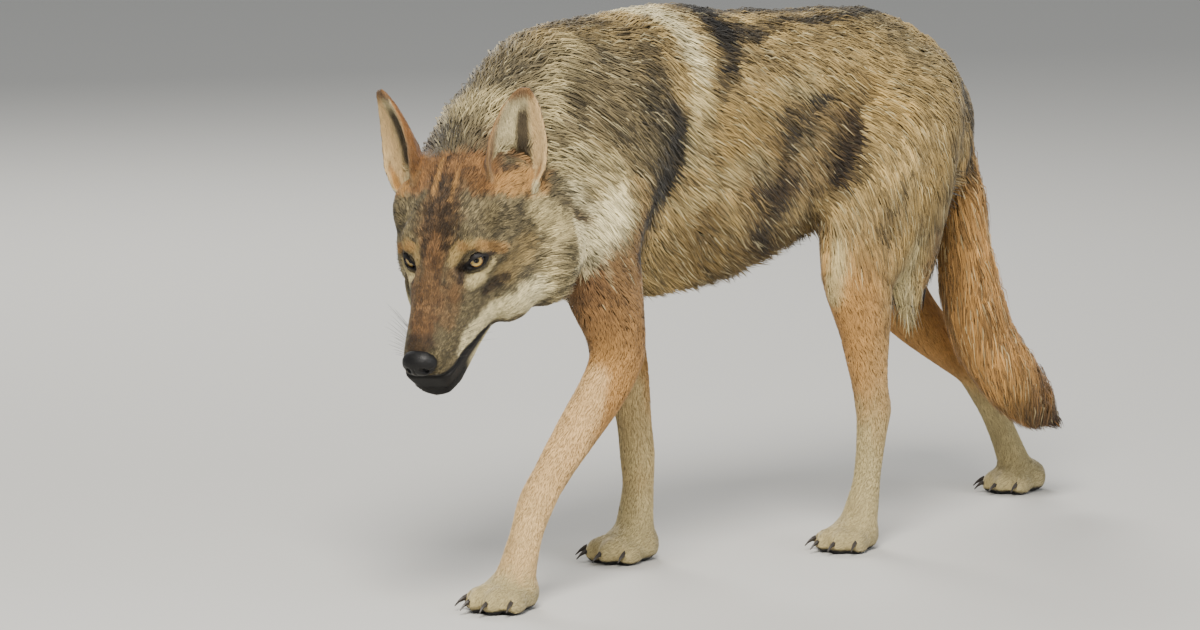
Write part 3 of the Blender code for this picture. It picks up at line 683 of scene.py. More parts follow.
def pressFace(verts):
    verts = verts.copy()
    for side in both:
        out, along, across = eyeAxes(side)
        p = verts - eyeAt[side]
        x, y, height = p @ along, p @ across, p @ out
        reach = ovalReach(x, y, eyeValues["middle"], eyeValues["pressed"])
        near = smoothStep(*eyeValues["pressedEdge"], reach) * (height > 0.002)
        near = near * (np.linalg.norm(p, axis=1) < eyeValues["reach"])
        target = lidHeight(x, y) - eyeValues["lidUnder"]
        hollow = smoothStep(*eyeValues["ballEdge"], reach)
        target = mix(target, eyeRadius * eyeValues["ballDepth"], hollow)
        verts += out * ((target - height) * near)[:, None]
    h = toHead(verts)
    line = np.array(lipLine)
    nearLip = np.full(len(verts), 1.0)
    for a, b in zip(line, line[1:]):
        run = b - a
        t = np.clip((h[:, [0, 2]] - a) @ run / (run @ run), 0, 1)
        nearLip = np.minimum(nearLip, np.linalg.norm(h[:, [0, 2]] - (a + t[:, None] * run), axis=1))
    crease = np.exp(-(nearLip / lipValues["width"]) ** 2) * isHead * (h[:, 0] > lipValues["start"])
    verts -= skinNormals * (lipValues["depth"] * crease)[:, None]
    return verts, nearLip


earValues = {"wall": 0.0028, "depth": 0.0130, "skinOver": 0.0006, "room": 0.004, "rounds": 6,
             "facing": (0.15, 0.55), "sides": (1.02, 0.45), "tip": (0.97, 0.72),
             "foot": (0.02, 0.34)}


def earPlaces(name):
    # across the ear from its inner edge, -1, to its outer edge, 1, and up it from 0 to 1
    side = sideSign[name.split("_")[1]]
    mouth = earMouth(name)
    base, tip = endsOf(name, earWay)
    mine = nodeOf == fleshNodes.index(name)
    rise = unit(tip - base)
    outer = unit(np.cross(mouth, rise)) * -side
    if outer @ headSide * side < 0:
        outer = -outer
    local = skinVerts - base
    high = local @ rise / np.linalg.norm(tip - base)
    apart = local @ outer
    steps = np.linspace(-0.1, 1.1, 13)
    edges = [(-0.02, 0.02)]
    for step in steps:
        near = mine & (np.abs(high - step) < 0.08)
        edges.append((apart[near].min(), apart[near].max()) if near.any() else edges[-1])
    low, top = (np.interp(high, steps, edge) for edge in zip(*edges[1:]))
    wide = (2 * apart - low - top) / np.maximum(top - low, 0.004)
    return mine, high, wide, mouth


def pressEars(verts):
    # the cup of each ear, leaving a thin wall behind it
    verts = verts.copy()
    shell = BVHTree.FromPolygons(verts.tolist(), skinTris.tolist())
    for name in earNodes:
        mine, high, wide, mouth = earPlaces(name)
        dip = mine * smoothStep(*earValues["facing"], skinNormals @ mouth)
        dip = dip * smoothStep(*earValues["sides"], np.abs(wide))
        dip = dip * smoothStep(*earValues["tip"], high) * smoothStep(*earValues["foot"], high)
        dip = spread(dip, skinEdges, 5)[:, 0]
        sink = np.zeros(len(verts))
        for i in np.nonzero(dip > 0.02)[0]:
            start = Vector(verts[i] - mouth * earValues["skinOver"])
            found = shell.ray_cast(start, Vector(-mouth))
            room = (found[3] if found[0] is not None else earValues["room"]) - earValues["wall"]
            sink[i] = max(min(room, earValues["depth"]), 0.0) * dip[i]
        for _ in range(earValues["rounds"]):
            # the cup's floor runs out smoothly, with no ledge
            sink = np.minimum(sink, spread(sink, skinEdges, 4)[:, 0])
        verts -= mouth * sink[:, None]
    return verts


skinVerts = skinVerts - skinNormals * coatDepth[:, None]
# the folds where the thighs and shoulders meet the trunk are eased
onLimb = np.isin(nodeOf, [i for i, k in enumerate(kinds) if k in ("thigh", "upper_arm")])
onLimb = spread(onLimb.astype(float), skinEdges, 60)[:, 0]
meeting = smoothStep(0.05, 0.55, 4 * onLimb * (1 - onLimb))
meeting = meeting * smoothStep(0.36, 0.46, skinVerts[:, 2])
skinVerts = mix(skinVerts, spread(skinVerts, skinEdges, 60), meeting)
skinVerts = pressEars(skinVerts)
inHollow = earHollow()
skinVerts = mix(skinVerts, spread(skinVerts, skinEdges, 6), np.clip(inHollow, 0, 1) * 0.8)
skinVerts, lipGap = pressFace(skinVerts)
skinVerts[:, 2] = np.maximum(skinVerts[:, 2], 0.0)
setPlaces(skin.data, skinVerts)
skinNormals = normalsOf(skin.data)
comb = unit(alongSkin(comb))
print("skin shaped")

# markings, with some painted shade on the flank, the same for the skin and the hairs, each with the
# axes it is drawn on, its colour, how much of it, its share of dark-tipped hairs, and its stroke:
# x, y, z and half width in mm
markingsAndShade = [
    # the back and the sides, with y measured out from the spine
    ("trunk", "grey", 0.85, 0.5, [(400, 40, 600, 70), (310, 70, 610, 70), (280, 100, 540, 50)]),
    ("trunk", "cream", 0.45, 0.4, [(330, 30, 655, 18), (390, 50, 615, 18), (420, 70, 570, 18)]),
    ("trunk", "cream", 0.8, 0.25, [(464, 0, 601, 22), (465, 30, 592, 22), (470, 64, 580, 18),
        (440, 90, 540, 18)]),
    ("trunk", "darkGrey", 0.55, 0.75, [(340, 0, 660, 16), (270, 0, 692, 22), (250, 40, 668, 18)]),
    ("trunk", "darkGrey", 0.55, 0.75, [(300, 62, 640, 12), (275, 92, 600, 14),
        (262, 105, 560, 12)]),
    ("trunk", "cream", 0.75, 0.2, [(405, 100, 530, 26), (350, 108, 520, 24), (330, 112, 470, 26)]),
    ("trunk", "white", 0.9, 0.06, [(338, 110, 470, 24), (360, 105, 430, 26), (420, 90, 410, 34)]),
    ("trunk", "cream", 0.7, 0.1, [(350, 0, 390, 50), (420, 0, 380, 50)]),
    ("trunk", "white", 0.88, 0.1, [(436, 99, 479, 18), (399, 101, 481, 20), (368, 102, 458, 20),
        (432, 103, 444, 18)]),
    ("trunk", "darkGrey", 0.55, 0.8, [(320, 112, 440, 9), (356, 107, 412, 10),
        (411, 100, 385, 10)]),
    ("trunk", "buff", 0.75, 0.3, [(53, 87, 617, 36), (-29, 76, 622, 38), (-123, 71, 621, 32)]),
    ("trunk", "straw", 0.8, 0.1, [(-111, 83, 590, 20), (-154, 92, 552, 22), (-182, 108, 542, 22)]),
    ("trunk", "grey", 0.7, 0.45, [(-205, 40, 650, 26), (-240, 80, 605, 26), (-290, 70, 580, 22)]),
    ("trunk", "straw", 0.65, 0.15, [(115, 105, 540, 40), (60, 105, 530, 40)]),
    # a broad soft darkening of the mid flank: painted shade on the body's side
    ("trunk", "brown", 0.4, 0.6, [(60, 100, 485, 50), (-50, 96, 500, 50)]),
    # the ochre of the lower flank and the belly, darkened with painted shade under the body
    ("trunk", "shadedOchre", 0.8, 0.08, [(168, 99, 447, 34), (167, 83, 397, 36), (103, 70, 378, 40),
        (20, 40, 385, 45), (-60, 50, 410, 35)]),
    ("trunk", "darkGrey", 0.7, 0.7, [(240, 85, 640, 16), (236, 102, 585, 26), (232, 104, 540, 30),
        (245, 107, 495, 28)]),
    ("trunk", "black", 0.85, 0.85, [(216, 103, 580, 12), (208, 103, 550, 18), (216, 103, 517, 20),
        (236, 107, 485, 20), (262, 112, 452, 18), (280, 110, 410, 16)]),
    ("trunk", "cream", 0.85, 0.08, [(159, 96, 604, 13), (170, 100, 585, 15), (178, 103, 544, 16),
        (183, 104, 502, 16), (192, 101, 460, 13)]),
    ("trunk", "white", 0.9, 0.12, [(180, 0, 690, 28), (172, 45, 676, 26), (166, 78, 645, 19),
        (160, 90, 615, 12)]),
    ("trunk", "black", 0.96, 0.95, [(85, 0, 690, 30), (94, 50, 670, 28), (104, 78, 640, 21),
        (112, 92, 612, 15), (135, 99, 588, 12)]),
    ("trunk", "black", 0.9, 0.95, [(80, 60, 660, 24), (45, 62, 652, 18), (0, 50, 655, 12)]),
    ("trunk", "black", 0.85, 0.9, [(60, 0, 685, 20), (-120, 0, 672, 20), (-260, 0, 660, 18),
        (-350, 0, 600, 16), (-400, 0, 520, 14)]),
    ("trunk", "black", 0.8, 0.9, [(-30, 38, 660, 8), (-90, 40, 656, 9), (-150, 36, 656, 9),
        (-230, 14, 655, 10)]),
    ("trunk", "cream", 0.8, 0.05, [(12, 96, 580, 10), (-22, 94, 576, 10)]),
    ("trunk", "shadedOchre", 0.7, 0.3, [(-143, 83, 587, 7), (-140, 85, 563, 10)]),
    ("left", "black", 0.92, 0.9, [(-60, 93, 560, 16), (-7, 98, 552, 19), (26, 102, 533, 21)]),
    ("left", "darkBrown", 0.92, 0.9, [(-100, 90, 535, 20), (-98, 89, 502, 21),
        (-86, 90, 472, 18)]),
    ("trunk", "grey", 0.7, 0.2, [(-34, 97, 523, 13), (5, 101, 505, 13)]),
    ("trunk", "cream", 0.7, 0.08, [(72, 107, 507, 11), (115, 107, 497, 12), (131, 105, 483, 11)]),
    ("trunk", "darkBrown", 0.8, 0.8, [(69, 103, 469, 16), (11, 98, 463, 18), (32, 94, 440, 14),
        (68, 95, 425, 12)]),
    ("left", "darkBrown", 0.8, 0.8, [(62, 90, 415, 13), (25, 70, 395, 14)]),
    ("right", "darkBrown", 0.85, 0.9, [(0, 100, 540, 14), (-40, 98, 520, 12)]),
    ("right", "black", 0.8, 0.9, [(-110, 95, 545, 13), (-120, 95, 515, 11)]),
    ("trunk", "darkGrey", 0.8, 0.8, [(-320, 75, 580, 12), (-345, 62, 540, 14), (-372, 50, 495, 14),
        (-383, 43, 443, 12)]),
    # the thighs, with y measured from the middle of the body
    ("side", "buff", 0.7, 0.35, [(-135, 111, 495, 24), (-110, 114, 448, 23), (-86, 107, 419, 18)]),
    ("side", "cream", 0.8, 0.08, [(-71, 96, 407, 12), (-68, 94, 364, 12), (-74, 84, 316, 12)]),
    ("side", "tan", 0.7, 0.05, [(-100, 110, 330, 26), (-115, 100, 280, 24)]),
    ("side", "darkGrey", 0.75, 0.75, [(-236, 114, 536, 13), (-204, 122, 490, 14),
        (-157, 124, 438, 14), (-122, 121, 393, 12)]),
    ("side", "straw", 0.8, 0.1, [(-254, 117, 485, 20), (-202, 124, 436, 20),
        (-168, 123, 385, 18)]),
    ("side", "brown", 0.55, 0.5, [(-290, 105, 520, 10), (-270, 115, 450, 10),
        (-235, 115, 400, 9)]),
    ("side", "cream", 0.8, 0.05, [(-203, 112, 370, 18), (-198, 100, 321, 18)]),
    ("side", "rufous", 0.6, 0.3, [(-250, 90, 400, 14), (-240, 80, 330, 14)]),
    ("side", "cream", 0.85, 0, [(-190, 85, 330, 26), (-195, 75, 290, 26)]),
    ("world", "cream", 0.75, 0, [(-75, 85, 230, 26), (-105, 80, 100, 45)]),
    ("world", "cream", 0.6, 0, [(-560, -75, 150, 45), (-580, -75, 60, 45)]),
    ("world", "sand", 0.8, 0, [(350, 85, 260, 24), (400, 85, 170, 45), (440, 80, 80, 50)]),
    ("world", "cream", 0.6, 0, [(145, -60, 260, 20), (130, -60, 150, 40)]),
    # the tail
    ("world", "darkBrown", 0.8, 0.8, [(-372, -15, 500, 22), (-425, -5, 330, 18),
        (-490, 0, 200, 18), (-565, 10, 120, 20)]),
    ("world", "shadedOchre", 0.55, 0.4, [(-445, 45, 165, 22), (-510, 50, 120, 30)]),
    ("world", "brown", 0.62, 0.6, [(-530, 25, 160, 50), (-580, 30, 110, 50)]),
    ("world", "black", 0.7, 0.8, [(-585, 30, 90, 18)]),
    # the head, drawn on its own axes, with y measured out from the middle
    ("head", "rust", 0.75, 0.25, [(-110, 20, 55, 30), (-90, 45, 45, 22)]),
    ("head", "tan", 0.8, 0.05, [(-84, 68, 34, 14), (-100, 80, 30, 18), (-106, 94, 8, 15)]),
    ("head", "darkBrown", 0.75, 0.3, [(-106, 64, 42, 6), (-112, 78, 38, 5)]),
    ("head", "brown", 0.75, 0.8, [(-75, 0, 52, 17), (-30, 0, 44, 28), (5, 0, 28, 22)]),
    ("head", "darkBrown", 0.6, 0.85, [(-60, 0, 50, 10), (-20, 0, 40, 16), (10, 0, 26, 10)]),
    ("head", "rufous", 0.8, 0.4, [(-10, 0, 36, 6), (15, 0, 24, 11), (50, 0, 6, 18),
        (90, 0, -3, 17)]),
    ("head", "rufous", 0.5, 0.3, [(-108, 10, 58, 22), (-85, 25, 51, 16)]),
    ("head", "tan", 0.75, 0.05, [(-105, 12.5, 57, 3), (-80, 12.5, 53, 3.2), (-50, 12, 48, 2.8)]),
    ("head", "darkBrown", 0.8, 0.6, [(-108, 5.5, 58, 3), (-80, 5.5, 53, 3), (-45, 5, 47, 3)]),
    ("head", "darkBrown", 0.65, 0.6, [(-98, 19.5, 56, 2.6), (-70, 19.5, 51, 2.6),
        (-45, 18, 47, 2.4)]),
    ("head", "buff", 0.92, 0.04, [(13, 25, 17, 6.5), (2, 29, 22, 8.5), (-4, 41, 24, 8),
        (-12, 52, 18, 6)]),
    ("head", "tan", 0.55, 0.05, [(-1, 34, 25, 6), (-14, 56, 12, 5.5), (-23, 70, -4, 6)]),
    ("head", "rufous", 0.55, 0.25, [(30, 26, 4, 14), (75, 22, -12, 14)]),
    ("head", "cream", 0.7, 0.05, [(12, 50, -15, 6), (26, 39, -11, 5.5)]),
    ("head", "rufous", 0.6, 0.15, [(37, 28, 0, 5), (50, 28, -6, 6)]),
    ("head", "brown", 0.35, 0.45, [(35, 0, 12, 18), (60, 0, 4, 24), (90, 0, -3, 24)]),
    ("head", "brown", 0.6, 0.3, [(95, 0, -4, 16), (118, 0, -10, 14)]),
    ("head", "darkBrown", 0.65, 0.3, [(112, 12, -11, 11), (122, 0, -8, 10)]),
    ("head", "buff", 0.55, 0.12, [(-10, 62, -30, 14), (-45, 78, -30, 18)]),
    ("head", "darkBrown", 0.82, 0.6, [(19, 50, -31, 6), (5, 56, -34, 7.5), (-8, 65, -36, 6)]),
    ("head", "white", 0.9, 0.04, [(94, 28, -50, 9), (70, 36, -50, 11), (35, 50, -60, 14),
        (10, 64, -70, 16), (-20, 80, -82, 22)]),
    ("head", "grey", 0.45, 0.5, [(112, 26, -40, 10), (92, 32, -36, 8)]),
    ("head", "cream", 0.75, 0.3, [(-60, 100, -70, 24), (-60, 85, -110, 30)]),
    ("head", "grey", 0.65, 0.6, [(-50, 94, -45, 10), (-62, 104, -70, 12), (-45, 98, -100, 12)]),
    ("head", "darkGrey", 0.6, 0.8, [(-75, 108, -50, 6), (-74, 110, -80, 8), (-62, 106, -104, 8)]),
    ("head", "white", 0.75, 0.03, [(80, 0, -85, 26), (30, 0, -105, 34), (-40, 0, -130, 40)]),
    ("head", "cream", 0.8, 0.15, [(-85, 95, -10, 18), (-95, 100, -50, 22)]),
    ("head", "darkBrown", 0.88, 0.4, [(30, 31, -1, 4), (21, 35, 3, 5.5), (10, 40, 10, 5.5),
        (0, 48, 10, 4.5), (-6, 56, 3, 3.5), (-12, 64, 0, 2.5)]),
    ("head", "cream", 0.85, 0.02, [(-7, 62, -7, 2.8), (1, 56, -12, 3.6), (12, 48, -12, 3.6),
        (22, 41, -8, 3)]),
]


markingAxes = {
    "head": (mirrored(onHead), isHead), "trunk": (mirrored(onTrunk), ~isHead),
    "left": (onTrunk, ~isHead), "right": (onTrunk * (1, -1, 1), ~isHead),
    "side": (mirrored(skinVerts), ~isHead), "world": (skinVerts, ~isHead),
}
paintValues = {"edge": 0.75, "ragged": ((0.22, 60, 3), (0.20, 170, 4), (0.16, 420, 7)),
               "patches": ((0.6, 17, 31), (0.4, 38, 32)), "patchStrength": 0.60, "darken": 0.13}


def layeredNoise(layers):
    # each layer: its share, its fineness and its seed
    return sum(share * noiseAt(skinVerts, scale, seed) for share, scale, seed in layers)


def paintCoat():
    basis = np.array([palette[ground[k][0]] for k in kinds])[nodeOf]
    grizzle = np.array([ground[k][1] for k in kinds])[nodeOf]
    mixed = spread(np.column_stack((basis, grizzle)), skinEdges, 20, 0.5 * (1 - 0.5 * isHead))
    mixed = spread(mixed, skinEdges, 60, 0.5 * (1 - isHead))
    colour, grizzle = mixed[:, :3], mixed[:, 3]
    ragged = layeredNoise(paintValues["ragged"])
    for axes, name, amount, dark, line in markingsAndShade:
        places, allowed = markingAxes[axes]
        inside = strokes(places, np.array(line) / 1000, paintValues["edge"])
        inside = smoothStep(0.12, 0.80, inside + ragged * smoothStep(0.0, 0.25, inside))
        inside = inside * amount * allowed
        colour = mix(colour, palette[name], inside)
        grizzle = mix(grizzle, dark, inside)
    # long hair falls into paler and darker patches
    tone = paintValues["patchStrength"] * layeredNoise(paintValues["patches"])
    trunkHair = smoothStep(0.020, 0.034, coatLength) * ~isHead
    colour = colour * np.exp((tone - paintValues["darken"]) * trunkHair)[:, None]
    return colour, grizzle


def paintEar(name, colour, grizzle):
    mine, high, wide, _ = earPlaces(name)
    inside = mine * inHollow
    outer = inside * smoothStep(0.38, 0.66, wide)
    inner = mine * np.maximum(smoothStep(-0.56, -0.82, wide), smoothStep(0.86, 0.96, high))
    deep = inside * smoothStep(0.32, 0.14, np.abs(wide - 0.28))
    deep = deep * smoothStep(0.10, 0.25, high) * smoothStep(0.88, 0.70, high)
    low = inside * smoothStep(0.26, 0.14, high) * smoothStep(0.60, 0.30, np.abs(wide + 0.30))
    low = low * smoothStep(0.092, 0.084, np.abs(onHead[:, 1]))
    edge = np.maximum(np.abs(wide) * (1 - 0.25 * (wide > 0)), high)
    edge = mine * smoothStep(0.80, 0.98, edge)
    foot = mine * (1 - inHollow) * smoothStep(0.30, 0.05, high)
    for hue, tone, place, amount in (("white", 0.88, inside, 0.9), ("sand", 0.82, outer, 0.85),
                                     ("rust", 1, inner, 0.75),
                                     ("darkBrown", 1, np.maximum(deep, low), 0.92),
                                     ("rufous", 1, edge, 0.75), ("tan", 1, foot, 0.8)):
        colour = mix(colour, palette[hue] * tone, place * amount)
    return colour, grizzle * (1 - 0.9 * inside)


def paintBare(colour, grizzle):
    # lips, eye rims, ear hollows and the pads under the paws, and the chin's front made black: its
    # dark lip skin with painted shade under the jaw
    front, z = onHead[:, 0], onHead[:, 2]
    lips = smoothStep(0.0062, 0.0030, lipGap) * isHead * smoothStep(0.020, 0.034, front)
    below = np.interp(front, *zip(*lipLine)) - z
    band = np.interp(front, (0.02, 0.05, 0.09, 0.12), (0.003, 0.008, 0.014, 0.018))
    onJaw = (below > -0.001) * isHead
    under = smoothStep(band + 0.003, band - 0.003, below) * onJaw
    bare = np.maximum(lips, under * smoothStep(0.020, 0.040, front))
    for side in both:
        out, along, across = eyeAxes(side)
        p = skinVerts - eyeAt[side]
        reach = ovalReach(p @ along, p @ across, eyeValues["bareMiddle"], eyeValues["bare"])
        bare = np.maximum(bare, smoothStep(1.12, 0.98, reach) * (p @ out > 0))
    pads = smoothStep(0.010, 0.005, skinVerts[:, 2]) * smoothStep(-0.35, -0.6, skinNormals[:, 2])
    bare = np.maximum(bare, pads)
    # the chin's front is painted black: dark lip skin with painted shade under the jaw
    chinDarkAndShade = smoothStep(band + 0.036, band + 0.016, below) * onJaw * smoothStep(0.075, 0.100, front)
    colour = mix(colour, palette["black"] * 1.5, chinDarkAndShade)
    for name in earNodes:
        colour, grizzle = paintEar(name, colour, grizzle)
    return mix(colour, palette["bare"], bare), grizzle, bare


coatColour, grizzled = paintCoat()
coatColour, grizzled, bareSkin = paintBare(coatColour, grizzled)
print("markings painted")


# materials
def addNode(tree, kind, **values):
    # a shader node, with its inputs' names written with _ for a space
    node = tree.nodes.new("ShaderNode" + kind)
    for name, value in values.items():
        node.inputs[name.replace("_", " ")].default_value = value
    return node


def addTint(tree):
    tint = addNode(tree, "Mix", Factor=1.0)
    tint.data_type = "RGBA"
    tint.blend_type = "MULTIPLY"
    return tint


def readAttribute(tree, name):
    laid = addNode(tree, "Attribute")
    laid.attribute_name = name
    return laid


def streakGroup():
    # fine lines along a tuft, and a fleck over the skin
    group = bpy.data.node_groups.new("hairStreaks", "ShaderNodeTree")
    for name, way, kind in (("Place", "INPUT", "Vector"), ("Fineness", "INPUT", "Float"),
                            ("Contrast", "INPUT", "Float"), ("Shade", "OUTPUT", "Float"),
                            ("Height", "OUTPUT", "Float")):
        group.interface.new_socket(name, in_out=way, socket_type="NodeSocket" + kind)
    start = group.nodes.new("NodeGroupInput")
    end = group.nodes.new("NodeGroupOutput")
    grain = addNode(group, "TexNoise", Detail=3.0)
    spanned = addNode(group, "MapRange", From_Min=0.3, From_Max=0.7, To_Max=1.0)
    softer = addNode(group, "Math")
    softer.operation = "SUBTRACT"
    softer.inputs[0].default_value = 1.0
    link = group.links.new
    link(start.outputs["Place"], grain.inputs["Vector"])
    link(start.outputs["Fineness"], grain.inputs["Scale"])
    link(grain.outputs["Fac"], spanned.inputs["Value"])
    link(start.outputs["Contrast"], softer.inputs[1])
    link(softer.outputs[0], spanned.inputs["To Min"])
    link(spanned.outputs["Result"], end.inputs["Shade"])
    link(grain.outputs["Fac"], end.inputs["Height"])
    return group


streaks = streakGroup()


def plainMaterial(name, colour, roughness, **sockets):
    material = bpy.data.materials.new(name)
    material.use_nodes = True
    shader = material.node_tree.nodes["Principled BSDF"]
    shader.inputs["Base Color"].default_value = (*colour, 1)
    shader.inputs["Roughness"].default_value = roughness
    for socket, value in sockets.items():
        shader.inputs[socket.replace("_", " ")].default_value = value
    return material, shader


def hairMaterial(name, strandMap, fineness, contrast, bump, distance, sheen):
    # reads the colour laid on the mesh, with streaks along the strands over it
    material, shader = plainMaterial(name, (0.3, 0.2, 0.1), 0.62, Sheen_Weight=sheen,
                                     Sheen_Roughness=0.5, Specular_IOR_Level=0.22)
    tree = material.node_tree
    if strandMap:
        place = addNode(tree, "UVMap")
        place.uv_map = strandMap
        placeOut = place.outputs["UV"]
    else:
        placeOut = addNode(tree, "TexCoord").outputs["Object"]
    streak = tree.nodes.new("ShaderNodeGroup")
    streak.node_tree = streaks
    streak.inputs["Fineness"].default_value = fineness
    streak.inputs["Contrast"].default_value = contrast
    tint = addTint(tree)
    rough = addNode(tree, "Bump", Strength=bump, Distance=distance)
    link = tree.links.new
    link(placeOut, streak.inputs["Place"])
    link(readAttribute(tree, "coat").outputs["Color"], tint.inputs["A"])
    link(streak.outputs["Shade"], tint.inputs["B"])
    link(tint.outputs["Result"], shader.inputs["Base Color"])
    link(streak.outputs["Height"], rough.inputs["Height"])
    link(rough.outputs["Normal"], shader.inputs["Normal"])
    return material


def noisyMaterial(name, colour, darker, roughness, scale, bump, distance, **sockets):
    # a bare surface with a fine fleck in its colour and bump, such as leather or horn
    material, shader = plainMaterial(name, colour, roughness, **sockets)
    tree = material.node_tree
    cells = addNode(tree, "TexVoronoi", Scale=scale)
    fleck = addNode(tree, "Mix")
    fleck.data_type = "RGBA"
    fleck.inputs["A"].default_value = (*darker, 1)
    fleck.inputs["B"].default_value = (*colour, 1)
    pebble = addNode(tree, "Bump", Strength=bump, Distance=distance)
    link = tree.links.new
    link(addNode(tree, "TexCoord").outputs["Object"], cells.inputs["Vector"])
    link(cells.outputs["Distance"], fleck.inputs["Factor"])
    link(fleck.outputs["Result"], shader.inputs["Base Color"])
    link(cells.outputs["Distance"], pebble.inputs["Height"])
    link(pebble.outputs["Normal"], shader.inputs["Normal"])
    return material


skinMaterial = hairMaterial("shortFurSkin", None, 900.0, 0.45, 0.35, 0.0012, 0.04)
tuftMaterial = hairMaterial("furTufts", "strand", 8.0, 0.50, 0.25, 0.0006, 0.18)
noseMaterial = noisyMaterial("noseLeather", (0.0045, 0.004, 0.004), (0.002, 0.0015, 0.0015),
                             0.48, 950.0, 0.6, 0.0005, Specular_IOR_Level=0.30,
                             Coat_Weight=0.06, Coat_Roughness=0.25)
hornMaterial = noisyMaterial("clawHorn", (0.055, 0.045, 0.038), (0.020, 0.016, 0.013),
                             0.38, 420.0, 0.15, 0.0004)
lidMaterial = noisyMaterial("eyelidSkin", (0.011, 0.008, 0.007), (0.005, 0.004, 0.004),
                            0.55, 1400.0, 0.3, 0.0003, Specular_IOR_Level=0.25)
whiskerMaterial = noisyMaterial("whisker", (0.025, 0.018, 0.014), (0.014, 0.010, 0.008),
                                0.4, 700.0, 0.1, 0.0001)

# the coat: closed, flattened tufts that lie along the skin
coatValues = {
    "density": 2.05, "cell": 0.012, "rootDepth": 0.0010, "thickness": 0.30, "leastDepth": 0.0006,
    "lengths": (0.70, 1.15), "widths": (0.75, 1.3), "stand": (0.66, 1.10), "hangs": (0.2, 1.4),
    "jitter": 0.17, "swirl": 0.26, "fineSwirl": 0.2, "middle": 0.45, "stray": 0.55, "relief": 0.35,
    "midRise": 0.74, "tipRise": 0.86, "hangRise": 0.6, "sag": 0.10, "clump": 0.45,
    "clumps": (0.5, 1.3), "clumpEvery": 9, "clumpIn": 0.25, "tress": 0.5, "tressEvery": 80,
    "tressIn": 0.72, "softness": 0.5, "hangLit": 1.4, "edgeLean": 0.75, "plainLean": 1.6,
    "patch": 0.003, "mostTufts": 33000}
tuftPaint = {
    "lock": 0.9, "tuft": 0.8, "tress": 0.5, "darken": 1.05,
    "plain": 0.20, "grizzled": 0.85, "headGrizzled": 0.45, "shaggy": 0.20, "paleOnes": 0.14,
    # the roots' pair and the last pair darken the hair's roots and the skin under the coat: painted
    # shade deep in the coat
    "patches": 0.10, "tipped": 0.85, "roots": (0.82, 0.30), "shadeUnderCoat": (0.80, 0.34)}
acrossBody = (0.0, 1.0, 0.0)
anywhere = (-9, 9)
legNodes = {"front": ("upper_arm", "forearm", "foot"), "hind": ("thigh", "shank", "foot")}
coatPieces = [  # name, slot, nodes, axis that parts it, the range along it
    ("coat_face", "coat_grey", ("head", "jaw"), headFront, -0.035, 9),
    ("coat_crown", "coat_grey", ("head", "jaw"), headFront, -9, -0.035),
    ("coat_neck", "coat_grey", ("neck",) + earNodes, up, *anywhere),
    ("coat_shoulders_left", "coat_grey", ("trunk",), acrossBody, -0.005, 9),
    ("coat_shoulders_right", "coat_grey", ("trunk",), acrossBody, -9, -0.005),
]
for end, parts in legNodes.items():
    for side in both:
        leg = end + "_" + side
        nodes = [leg + "_" + part for part in parts]
        coatPieces.append(("coat_" + leg, "coat_tan", nodes, up, *anywhere))
coatPieces.append(("coat_tail", "coat_rust", ("tail",), up, *anywhere))
skinTree = BVHTree.FromPolygons(skinVerts.tolist(), skinTris.tolist())


def rootsOnSkin():
    # evenly spread random places on the skin, closer together where the hair is finer
    a, b, c = (skinVerts[skinTris[:, k]] for k in range(3))
    area = np.linalg.norm(np.cross(b - a, c - a), axis=1) / 2
    hairy = 1 - smoothStep(0.25, 0.6, bareSkin[skinTris].mean(1))
    packed = area * hairy / (coatSpacing[skinTris].mean(1) ** 2) * coatValues["density"]
    middle = (a + b + c) / 3
    cell = np.floor(middle / coatValues["cell"]).astype(np.int64)
    order = np.lexsort((cell[:, 0], cell[:, 1], cell[:, 2]))
    running = np.cumsum(packed[order])
    count = int(running[-1])
    picks = np.searchsorted(running, np.arange(count) + chance.random(count))
    face = order[np.minimum(picks, len(order) - 1)]
    r1, r2 = np.sqrt(chance.random(count)), chance.random(count)
    shares = np.stack((1 - r1, r1 * (1 - r2), r1 * r2), 1)
    return face, shares


def atRoots(values, face, shares):
    # a skin value at places inside its triangles
    corners = values[skinTris[face]]
    if values.ndim == 1:
        return (corners * shares).sum(1)
    return (corners * shares[:, :, None]).sum(1)


def stepOnSkin(start, way, reach):
    # a step along the hair's lie, put back on the skin
    goal = start + way * reach[:, None]
    place, face = np.empty_like(goal), np.empty(len(goal), np.int64)
    for i, p in enumerate(goal.tolist()):
        found = skinTree.find_nearest(p)
        place[i], face[i] = found[0], found[2]
    corners = skinTris[face]
    return place, unit(skinNormals[corners].mean(1)), unit(comb[corners].mean(1)), face


def turned(ways, normals, angle):
    return unit(ways * np.cos(angle)[:, None] + np.cross(normals, ways) * np.sin(angle)[:, None])


def gather(root, tip, mid, every, pull, inward):
    # tufts lean towards a leader among them, so that the coat parts into locks
    leaders = chance.permutation(len(root))[:len(root) // every]
    tree = KDTree(len(leaders))
    for i, p in enumerate(root[leaders].tolist()):
        tree.insert(p, i)
    tree.balance()
    leader = leaders[[tree.find(p)[1] for p in root.tolist()]]
    reach = np.linalg.norm(tip - root, axis=1)
    pull = pull * (np.linalg.norm(root - root[leader], axis=1) < reach)
    tip = mix(tip, tip[leader] + (tip - tip[leader]) * inward, pull)
    mid = mix(mid, mid[leader] + (mid - mid[leader]) * (0.5 + inward / 2), pull * 0.5)
    return tip, mid, leader


